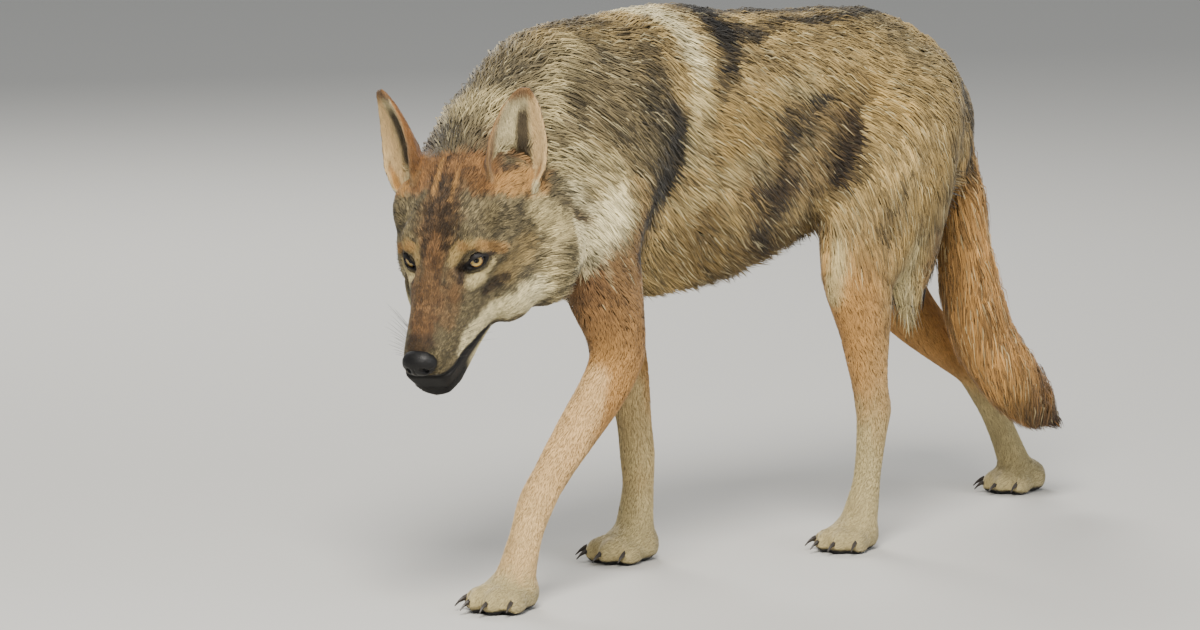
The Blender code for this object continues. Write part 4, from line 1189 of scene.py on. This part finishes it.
def growTufts():
    face, shares = rootsOnSkin()
    count = len(face)
    root, normal, way, length, depth, width, hang = (
        atRoots(values, face, shares) for values in
        (skinVerts, skinNormals, comb, coatLength, coatDepth, coatWidth, coatHang))
    normal = unit(normal)
    length = length * chance.uniform(*coatValues["lengths"], count)
    depth = np.maximum(depth, coatValues["leastDepth"])
    width = width / math.sqrt(coatValues["density"]) * chance.uniform(*coatValues["widths"], count)
    angle = (chance.normal(0, coatValues["jitter"], count)
             + coatValues["swirl"] * noiseAt(root, 45, 11)
             + coatValues["fineSwirl"] * noiseAt(root, 110, 12))
    # along the skin to the tuft's middle, and from there to its tip
    toMiddle = coatValues["middle"]
    way = turned(unit(way - normal * rowDot(way, normal)[:, None]), normal, angle)
    midPlace, midNormal, midWay, midFace = stepOnSkin(root, way, length * toMiddle)
    midWay = turned(unit(mix(midWay, way, np.full(count, 0.45))), midNormal, angle * 0.3)
    tipPlace, tipNormal, _, _ = stepOnSkin(midPlace, midWay, length * (1 - toMiddle))
    # up from the skin, a few of the long hairs well out of the coat
    shaggy = smoothStep(0.018, 0.040, length)
    stand = chance.uniform(*coatValues["stand"], count)
    stand = stand + coatValues["stray"] * chance.random(count) ** 6 * shaggy
    stand = stand * (1 + coatValues["relief"] * noiseAt(root, 26, 13) * shaggy)
    mid = midPlace + midNormal * (depth * coatValues["midRise"] * stand)[:, None]
    tip = tipPlace + tipNormal * (depth * coatValues["tipRise"] * stand)[:, None]
    tip -= up * (coatValues["sag"] * length * smoothStep(0.020, 0.045, length))[:, None]
    # fringes leave the skin and hang
    hang = np.clip(hang * chance.uniform(*coatValues["hangs"], count), 0, 1)
    fall, off = unit(way - up * 0.5), normal * (depth * coatValues["hangRise"])[:, None]
    mid = mix(mid, root + fall * (length * toMiddle)[:, None] + off, hang)
    tip = mix(tip, root + fall * length[:, None] + off, hang)
    pull = coatValues["clump"] * chance.uniform(*coatValues["clumps"], count)
    pull = pull * smoothStep(0.004, 0.02, length)
    tip, mid, leader = gather(root, tip, mid, coatValues["clumpEvery"], pull,
                              coatValues["clumpIn"])
    tip, mid, tress = gather(root, tip, mid, coatValues["tressEvery"],
                             coatValues["tress"] * shaggy, coatValues["tressIn"])
    print("tufts placed:", count)
    return {"face": face, "root": root, "normal": normal, "mid": mid, "midFace": midFace,
            "midNormal": midNormal, "tip": tip, "width": width, "leader": leader,
            "tress": tress, "shaggy": shaggy, "hang": hang}


def lotFor(numbers, seed):
    # the same luck for every tuft of a lock
    return hashed(np.stack((numbers,) * 3, 1).astype(np.int64), seed)


def tuftColours(tufts):
    # five colours a tuft: pale or dark banded hairs, a shade for each lock, and roots darkened as
    # painted shade deep in the coat
    count = len(tufts["root"])
    there = skinTris[tufts["midFace"]]
    basis = coatColour[there].mean(1)
    dark = grizzled[there].mean(1)
    shaggy = tufts["shaggy"]
    lockLuck, tressLuck = lotFor(tufts["leader"], 5), lotFor(tufts["tress"], 6)
    vary = tuftPaint["grizzled"] + tuftPaint["headGrizzled"] * isHead[there].mean(1)
    vary = tuftPaint["plain"] + vary * dark + tuftPaint["shaggy"] * shaggy
    luck = tuftPaint["lock"] * lockLuck + tuftPaint["tuft"] * chance.random(count)
    shade = np.exp(vary * (luck + tuftPaint["tress"] * tressLuck - tuftPaint["darken"]))
    shade = shade * (1 + tuftPaint["patches"] * noiseAt(tufts["root"], 26, 21))
    luck = 0.5 * lockLuck + 0.5 * chance.random(count)
    tipped = smoothStep(0.04, -0.04, luck - (0.16 + 0.66 * dark)) * smoothStep(0.0, 0.12, dark)
    middle = basis * shade[:, None]
    pale = chance.random(count) < tuftPaint["paleOnes"] * (1 - dark) * shaggy
    middle = mix(middle, palette["white"], pale * 0.35)
    tipColour = mix(middle * 1.06, palette["black"] + middle * 0.08, tipped * tuftPaint["tipped"])
    middle = mix(middle, middle * 0.55, tipped * 0.5)
    # the roots are darker, most under long hair: painted shade deep in the coat
    rootInShade = middle * mix(*tuftPaint["roots"], shaggy)[:, None]
    return np.stack((rootInShade, middle, middle, middle, tipColour), 1)


def wrapPlaces(tufts):
    # each root's place on the skin unrolled node by node: round the node, and along it
    node = nodeOf[skinTris[tufts["face"], 0]]
    around, along = np.zeros(len(node)), np.zeros(len(node))
    for index, name in enumerate(fleshNodes):
        mine = node == index
        if not mine.any():
            continue
        if kinds[index] in ("trunk", "neck"):
            way = np.array((-1.0, 0.0, 0.0))
        elif kinds[index] in ("head", "jaw"):
            way = -headFront
        elif kinds[index].startswith("ear"):
            way = earWay
        else:
            way = np.array((0.0, 0.0, -1.0))
        start, end = endsOf(name, way)
        axis = unit(end - start)
        first = unit(np.cross(axis, (0.13, 0.99, 0.08)))
        second = np.cross(axis, first)
        p = tufts["root"][mine] - (start + end) / 2
        around[mine] = (np.arctan2(p @ second, p @ first) / (2 * np.pi)) % 1
        run = p @ axis
        along[mine] = (run - run.min()) / max(np.ptp(run), 1e-6)
    return node, around, along


# a tuft's five points are its root, its two sides, its ridge and its tip
tuftFaces = np.array([(0, 2, 1), (0, 1, 3), (0, 3, 2), (4, 1, 2), (4, 2, 3), (4, 3, 1)])
bakePlaces = np.array([(0.0, -0.5), (-0.5, 0.0), (0.5, 0.0), (0.0, 0.06), (0.0, 0.5)])
strandPlaces = np.array([(0.5, 0.0), (0.0, 0.4), (1.0, 0.4), (0.5, 0.4), (0.5, 1.0)])
mapValues = {"margin": (0.03, 0.01), "room": (0.94, 0.98), "strand": (1.0, 0.12), "shifts": 40}


def tuftShapes(tufts):
    # five places and five normals a tuft, the normals eased towards the skin's
    mid, width = tufts["mid"], tufts["width"]
    base = tufts["root"] - tufts["normal"] * coatValues["rootDepth"]
    run = tufts["tip"] - base
    across = unit(np.cross(tufts["midNormal"], run))
    raised = unit(np.cross(run, across))
    flat = across * (width * 0.5)[:, None]
    ridge = mid + raised * (width * coatValues["thickness"])[:, None]
    points = np.stack((base, mid - flat, mid + flat, ridge, tufts["tip"]), 1)
    outward = unit(mix(tufts["midNormal"], up * coatValues["hangLit"], tufts["hang"] * 0.5))
    lean, plainLean = across * coatValues["edgeLean"], across * coatValues["plainLean"]
    facing = np.stack((tufts["normal"], outward - lean, outward + lean, raised, outward), 1)
    plain = np.stack((tufts["normal"], unit(raised - plainLean), unit(raised + plainLean),
                      raised, raised), 1)
    share = np.maximum(coatValues["softness"], tufts["hang"])[:, None, None]
    facing = unit((facing * share + plain * (1 - share)).reshape(-1, 3)).reshape(-1, 5, 3)
    return points, facing


def buildCoat():
    tufts = growTufts()
    colours = tuftColours(tufts)
    node, around, along = wrapPlaces(tufts)
    points, facing = tuftShapes(tufts)
    shifts = chance.random((len(node), 2)) * mapValues["shifts"]
    margin, room = np.array(mapValues["margin"]), np.array(mapValues["room"])
    root, corner = tufts["root"], tuftFaces.ravel()
    for name, slotName, members, axis, low, high in coatPieces:
        indices = sorted(fleshNodes.index(m) for m in members)
        reach = toHead(root)[:, 0] if axis is headFront else root @ np.array(axis)
        chosen = np.nonzero(np.isin(node, indices) & (reach >= low) & (reach < high))[0]
        order = chosen[np.argsort(root[chosen, 0], kind="stable")]
        # a long piece is parted along the body
        parts = -(-len(chosen) // coatValues["mostTufts"])
        for letter, some in zip("abcd", np.array_split(order, parts)):
            title = name if parts == 1 else name + "_" + letter
            faces = (np.arange(len(some))[:, None, None] * 5 + tuftFaces[None]).reshape(-1, 3)
            mesh = meshFrom(title, points[some].reshape(-1, 3), faces)
            addColour(mesh, "coat", colours[some].reshape(-1, 3))
            addVectors(mesh, "custom_normal", facing[some])
            # each node has a column of the map, and each tuft a small patch in it
            place = margin + room * np.stack((around[some], along[some]), 1)
            place[:, 0] = (np.searchsorted(indices, node[some]) + place[:, 0]) / len(indices)
            addMap(mesh, "OFBake",
                   place[:, None] + (bakePlaces * coatValues["patch"])[corner][None])
            addMap(mesh, "strand",
                   (strandPlaces[corner] * mapValues["strand"])[None] + shifts[some][:, None])
            mesh.uv_layers.active = mesh.uv_layers["OFBake"]
            mesh.uv_layers["OFBake"].active_render = True
            finishPiece(newObject(title, mesh), tuftMaterial)
            print(title, len(faces), "triangles")


buildCoat()


def finishSkin():
    # the skin is darker under long hair, painted shade deep in the coat, and keeps its own colour
    # where it is bare
    under = mix(*tuftPaint["shadeUnderCoat"], smoothStep(0.010, 0.030, coatLength))
    addColour(skin.data, "coat", coatColour * mix(under, 1.0, bareSkin)[:, None])
    finishPiece(skin, skinMaterial)
    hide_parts(*fleshNodes)


finishSkin()


# eyes
def turnedForm(rings, segments, axes, centre):
    # rings of (radius, height) about the first axis, closed at both poles
    out, first, second = axes
    turn = np.linspace(0, 2 * np.pi, segments, endpoint=False)
    verts, faces = [], []
    for radius, height in rings:
        if radius < 1e-9:
            verts.append(centre + out * height)
        else:
            verts += list(centre + out * height + radius * (np.cos(turn)[:, None] * first
                                                            + np.sin(turn)[:, None] * second))
    at = 0
    for (r0, _), (r1, _) in zip(rings, rings[1:]):
        n0, n1 = (1 if r < 1e-9 else segments for r in (r0, r1))
        for k in range(segments):
            j = (k + 1) % segments
            if n0 == 1:
                faces.append((at, at + 1 + j, at + 1 + k))
            elif n1 == 1:
                faces.append((at + k, at + j, at + n0))
            else:
                faces.append((at + k, at + j, at + n0 + j, at + n0 + k))
        at += n0
    return closedMesh("turned", verts, faces)


irisColours = [  # from the middle of the pupil to the edge of the iris
    (0.00, (0.001, 0.001, 0.001)), (0.355, (0.001, 0.001, 0.001)), (0.39, (0.36, 0.19, 0.03)),
    (0.52, (0.86, 0.60, 0.16)), (0.74, (0.82, 0.52, 0.12)), (0.86, (0.36, 0.17, 0.03)),
    (0.95, (0.030, 0.014, 0.006)), (1.00, (0.012, 0.008, 0.006)),
]


def eyeMaterial():
    material, shader = plainMaterial("amberEye", (0.5, 0.3, 0.05), 0.22, Coat_Weight=0.6,
                                     Coat_Roughness=0.05)
    tree = material.node_tree
    bands = addNode(tree, "ValToRGB")
    stops = bands.color_ramp.elements
    while len(stops) < len(irisColours):
        stops.new(0.5)
    for stop, (place, colour) in zip(stops, irisColours):
        stop.position = place
        stop.color = (*colour, 1)
    fibre = addNode(tree, "TexNoise", Scale=9.0, Detail=4.0)
    shade = addNode(tree, "MapRange", From_Min=0.35, From_Max=0.65, To_Min=0.62, To_Max=1.12)
    tint = addTint(tree)
    link = tree.links.new
    link(readAttribute(tree, "ring").outputs["Fac"], bands.inputs["Fac"])
    link(readAttribute(tree, "spoke").outputs["Vector"], fibre.inputs["Vector"])
    link(fibre.outputs["Fac"], shade.inputs["Value"])
    link(bands.outputs["Color"], tint.inputs["A"])
    link(shade.outputs["Result"], tint.inputs["B"])
    link(tint.outputs["Result"], shader.inputs["Base Color"])
    return material


amber = eyeMaterial()
corneaMaterial = plainMaterial("cornea", (0.01, 0.01, 0.01), 0.03, Alpha=0.12,
                               Specular_IOR_Level=0.6)[0]
ballValues = {"inset": 0.0002, "segments": 48, "dish": 0.0011, "dishStart": 0.0003,
              "pupilDepth": (0.0014, 0.0026, 0.0030), "corneaEdge": 0.0003, "corneaRise": 0.0007,
              "corneaOver": 0.00005, "corneaUnder": 0.0002, "spokes": 1.6, "spokeGrain": 60}
lidValues = {
    "around": 72, "inBall": 0.0003, "offBall": 0.0004, "inSkin": 0.0030,
    "rim": [  # out from the opening, and down from the lid's surface
        (0.0001, 0.0008), (0.0004, 0.0006), (0.0010, 0.0007), (0.0020, 0.0010), (0.0034, 0.0020),
        (0.0050, 0.0046)],
    "innerEdge": -0.0004, "outerUnder": 0.0012, "innerUnder": 0.0016}


def makeEye(side):
    out = headWay(*eyeValues["gaze"], side)
    first = unit(np.cross(out, headUp))
    second = np.cross(out, first)
    centre, segments = eyeAt[side], ballValues["segments"]
    iris, pupil = eyeValues["iris"], eyeValues["pupil"]
    ball = eyeRadius - ballValues["inset"]
    limbus = math.asin(iris / ball)
    level = ball * math.cos(limbus)
    # the ball from its back to the iris, the dished iris, and the pupil's pit
    rings = [(0.0, -ball)]
    rings += [(ball * math.sin(a), ball * math.cos(a))
              for a in np.linspace(math.pi - 0.2, limbus, 16)]
    rings += [(iris * r, level - ballValues["dish"] * (1 - r) - ballValues["dishStart"])
              for r in (0.93, 0.80, 0.60, 0.42, 0.30)]
    rings += [(pupil * r, level - d) for r, d in zip((1, 0.92, 0), ballValues["pupilDepth"])]
    mesh = turnedForm(rings, segments, (out, first, second), centre)
    p = placesOf(mesh) - centre
    x, y = p @ first, p @ second
    far, turn = np.hypot(x, y), np.arctan2(y, x)
    addNumber(mesh, "ring", np.where(p @ out > level - 0.004, np.minimum(far / iris, 1.0), 1.0))
    spokes, grain = ballValues["spokes"], ballValues["spokeGrain"]
    addVectors(mesh, "spoke",
               np.stack((np.cos(turn) * spokes, np.sin(turn) * spokes, far * grain), 1))
    piece = finishPiece(newObject("eyeball_" + side, mesh), amber)
    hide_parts("eye_" + side)

    edge = iris + ballValues["corneaEdge"]
    apex = ball + ballValues["corneaRise"]
    under = level - ballValues["corneaUnder"]
    dome = [(0.0, under), (edge * 0.9, under)]
    dome += [(edge * r, apex - (apex - level) * r * r + ballValues["corneaOver"])
             for r in (1.0, 0.9, 0.75, 0.6, 0.45, 0.3, 0.15)]
    dome += [(0.0, apex)]
    glass = turnedForm(dome, segments, (out, first, second), centre)
    finishPiece(newObject("cornea_" + side, glass), corneaMaterial)


def makeLids(side):
    # a dark rim round the opening, from the ball out over the lids and under the coat
    out, along, across = eyeAxes(side)
    n = lidValues["around"]
    x0, y0 = openingAt(np.linspace(0, 2 * np.pi, n, endpoint=False))
    away = unit(np.stack((x0 / eyeValues["length"] ** 2,
                          (y0 - eyeValues["corners"]) / eyeValues["upper"] ** 2), 1))

    def rowAt(grow, drop=None):
        # a row of the rim; the first one, with no drop, lies on the ball
        x, y = x0 + away[:, 0] * grow, y0 + away[:, 1] * grow
        flat = np.sqrt(np.maximum(eyeRadius ** 2 - x ** 2 - y ** 2, 0))
        if drop is None:
            height = np.maximum(flat - lidValues["inBall"], lidHeight(x, y) - lidValues["inSkin"])
        else:
            height = np.maximum(lidHeight(x, y) - drop, flat + lidValues["offBall"])
        return eyeAt[side] + x[:, None] * along + y[:, None] * across + height[:, None] * out

    rows = [rowAt(lidValues["innerEdge"])] + [rowAt(*row) for row in lidValues["rim"]]
    # the underside, so that the rim is a closed band
    rows += [rows[-1] - out * lidValues["outerUnder"], rows[2] - out * lidValues["innerUnder"]]
    faces = []
    for i in range(len(rows)):
        j = (i + 1) % len(rows)
        faces += [(i * n + k, i * n + (k + 1) % n, j * n + (k + 1) % n, j * n + k)
                  for k in range(n)]
    mesh = closedMesh("lids_" + side, np.concatenate(rows), faces)
    finishPiece(newObject("lids_" + side, mesh), lidMaterial)


for side in both:
    makeEye(side)
    makeLids(side)
print("eyes made")

# nose, whiskers and claws
noseValues = {"voxel": 0.0008, "rounds": 16, "nostril": (0.0135, 0.0105, 0.0005), "radius": 0.0040,
              "depth": 0.0042, "slit": (0.0085, 0.0157, -0.0045), "slitWidth": 0.0045,
              "slitDepth": 0.0020, "groove": 0.0011, "grooveDepth": 0.0013}


def makeNose():
    piece = meltedFrom("nosePad", mergedNode("nose"), noseValues["voxel"])
    mesh = settled(piece)
    verts = spread(placesOf(mesh), edgesOf(mesh), noseValues["rounds"])
    setPlaces(mesh, verts)
    p = toHead(verts) - toHead(noseAt)
    sink = np.zeros(len(verts))
    for s in sideSign.values():
        for name, radius, depth, stretch in (("nostril", "radius", "depth", (1.0, 1.0, 1.25)),
                                             ("slit", "slitWidth", "slitDepth", (0.8, 1.0, 2.2))):
            far = np.linalg.norm((p - np.array(noseValues[name]) * (1, s, 1)) * stretch, axis=1)
            sink += noseValues[depth] * np.exp(-(far / noseValues[radius]) ** 2)
    groove = np.exp(-(p[:, 1] / noseValues["groove"]) ** 2)
    groove = groove * smoothStep(0.004, 0.010, p[:, 0]) * smoothStep(0.008, -0.002, p[:, 2])
    sink += noseValues["grooveDepth"] * groove
    setPlaces(mesh, verts - normalsOf(mesh) * sink[:, None])
    finishPiece(piece, noseMaterial)
    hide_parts("nose")


whiskerValues = {  # places and steps are on the head's axes: to the front, out and up
    "rows": 4, "each": 5, "first": (0.112, 0.060, -0.026), "backStep": (-0.009, 0, 0),
    "rowStep": (-0.002, 0, -0.0062), "length": (0.030, 0.062), "growth": (0.55, 0.15),
    "out": 0.75, "lean": (0.35, 0.10), "dip": (0.05, 0.08), "curl": (0.15, 0.21),
    "radius": 0.00028, "taper": 0.7, "rootSwell": 1.25, "rooted": 0.001, "rings": 6}


def makeWhiskers():
    # each whisker is a bent cone with three sides, its root in the skin
    verts, faces = [], []
    first, back, down = (np.array(whiskerValues[k]) for k in ("first", "backStep", "rowStep"))
    rings = whiskerValues["rings"]
    (grown, growing), (leaning, leanStep), (dipping, dipStep), (curlBack, curlDown) = (
        whiskerValues[k] for k in ("growth", "lean", "dip", "curl"))
    bend = -headFront * curlBack - up * curlDown
    for s, row, k in product(sideSign.values(), range(whiskerValues["rows"]),
                             range(whiskerValues["each"])):
        aim = fromHead((first + back * k + down * row) * (1, s, 1))
        found = skinTree.ray_cast(Vector(aim), Vector(-headSide * s))
        if found[0] is None:
            continue
        start, out = np.array(found[0]), np.array(found[1])
        long = chance.uniform(*whiskerValues["length"]) * (grown + growing * k)
        way = unit(out * whiskerValues["out"] - headFront * (leaning + leanStep * k)
                   - headUp * (dipping + dipStep * row))
        across = unit(np.cross(way, (0.3, 0.2, 0.9)))
        over = np.cross(way, across)
        at, last = len(verts), len(verts) + 3 * (rings - 1)
        for i in range(rings):
            t = i / rings
            middle = start - out * whiskerValues["rooted"] + way * long * t + bend * long * t * t
            thick = whiskerValues["radius"] * (1 - t) ** whiskerValues["taper"]
            thick *= whiskerValues["rootSwell"] if i == 0 else 1
            for a in (0, 2 * math.pi / 3, 4 * math.pi / 3):
                verts.append(middle + thick * (math.cos(a) * across + math.sin(a) * over))
        verts.append(start + way * long + bend * long)
        for i, c in product(range(rings - 1), range(3)):
            low, high = at + 3 * i + c, at + 3 * i + (c + 1) % 3
            faces += [(low, high, high + 3), (low, high + 3, low + 3)]
        faces += [(last + c, last + (c + 1) % 3, last + 3) for c in range(3)]
        faces.append((at + 2, at + 1, at))
    mesh = meshFrom("whiskers", np.array(verts), np.array(faces))
    finishPiece(newObject("whiskers", mesh), whiskerMaterial)


makeNose()
makeWhiskers()
for name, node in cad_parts.items():
    if name.startswith("claw"):
        node.data.materials.clear()
        node.data.materials.append(hornMaterial)
print("nose, whiskers and claws made")
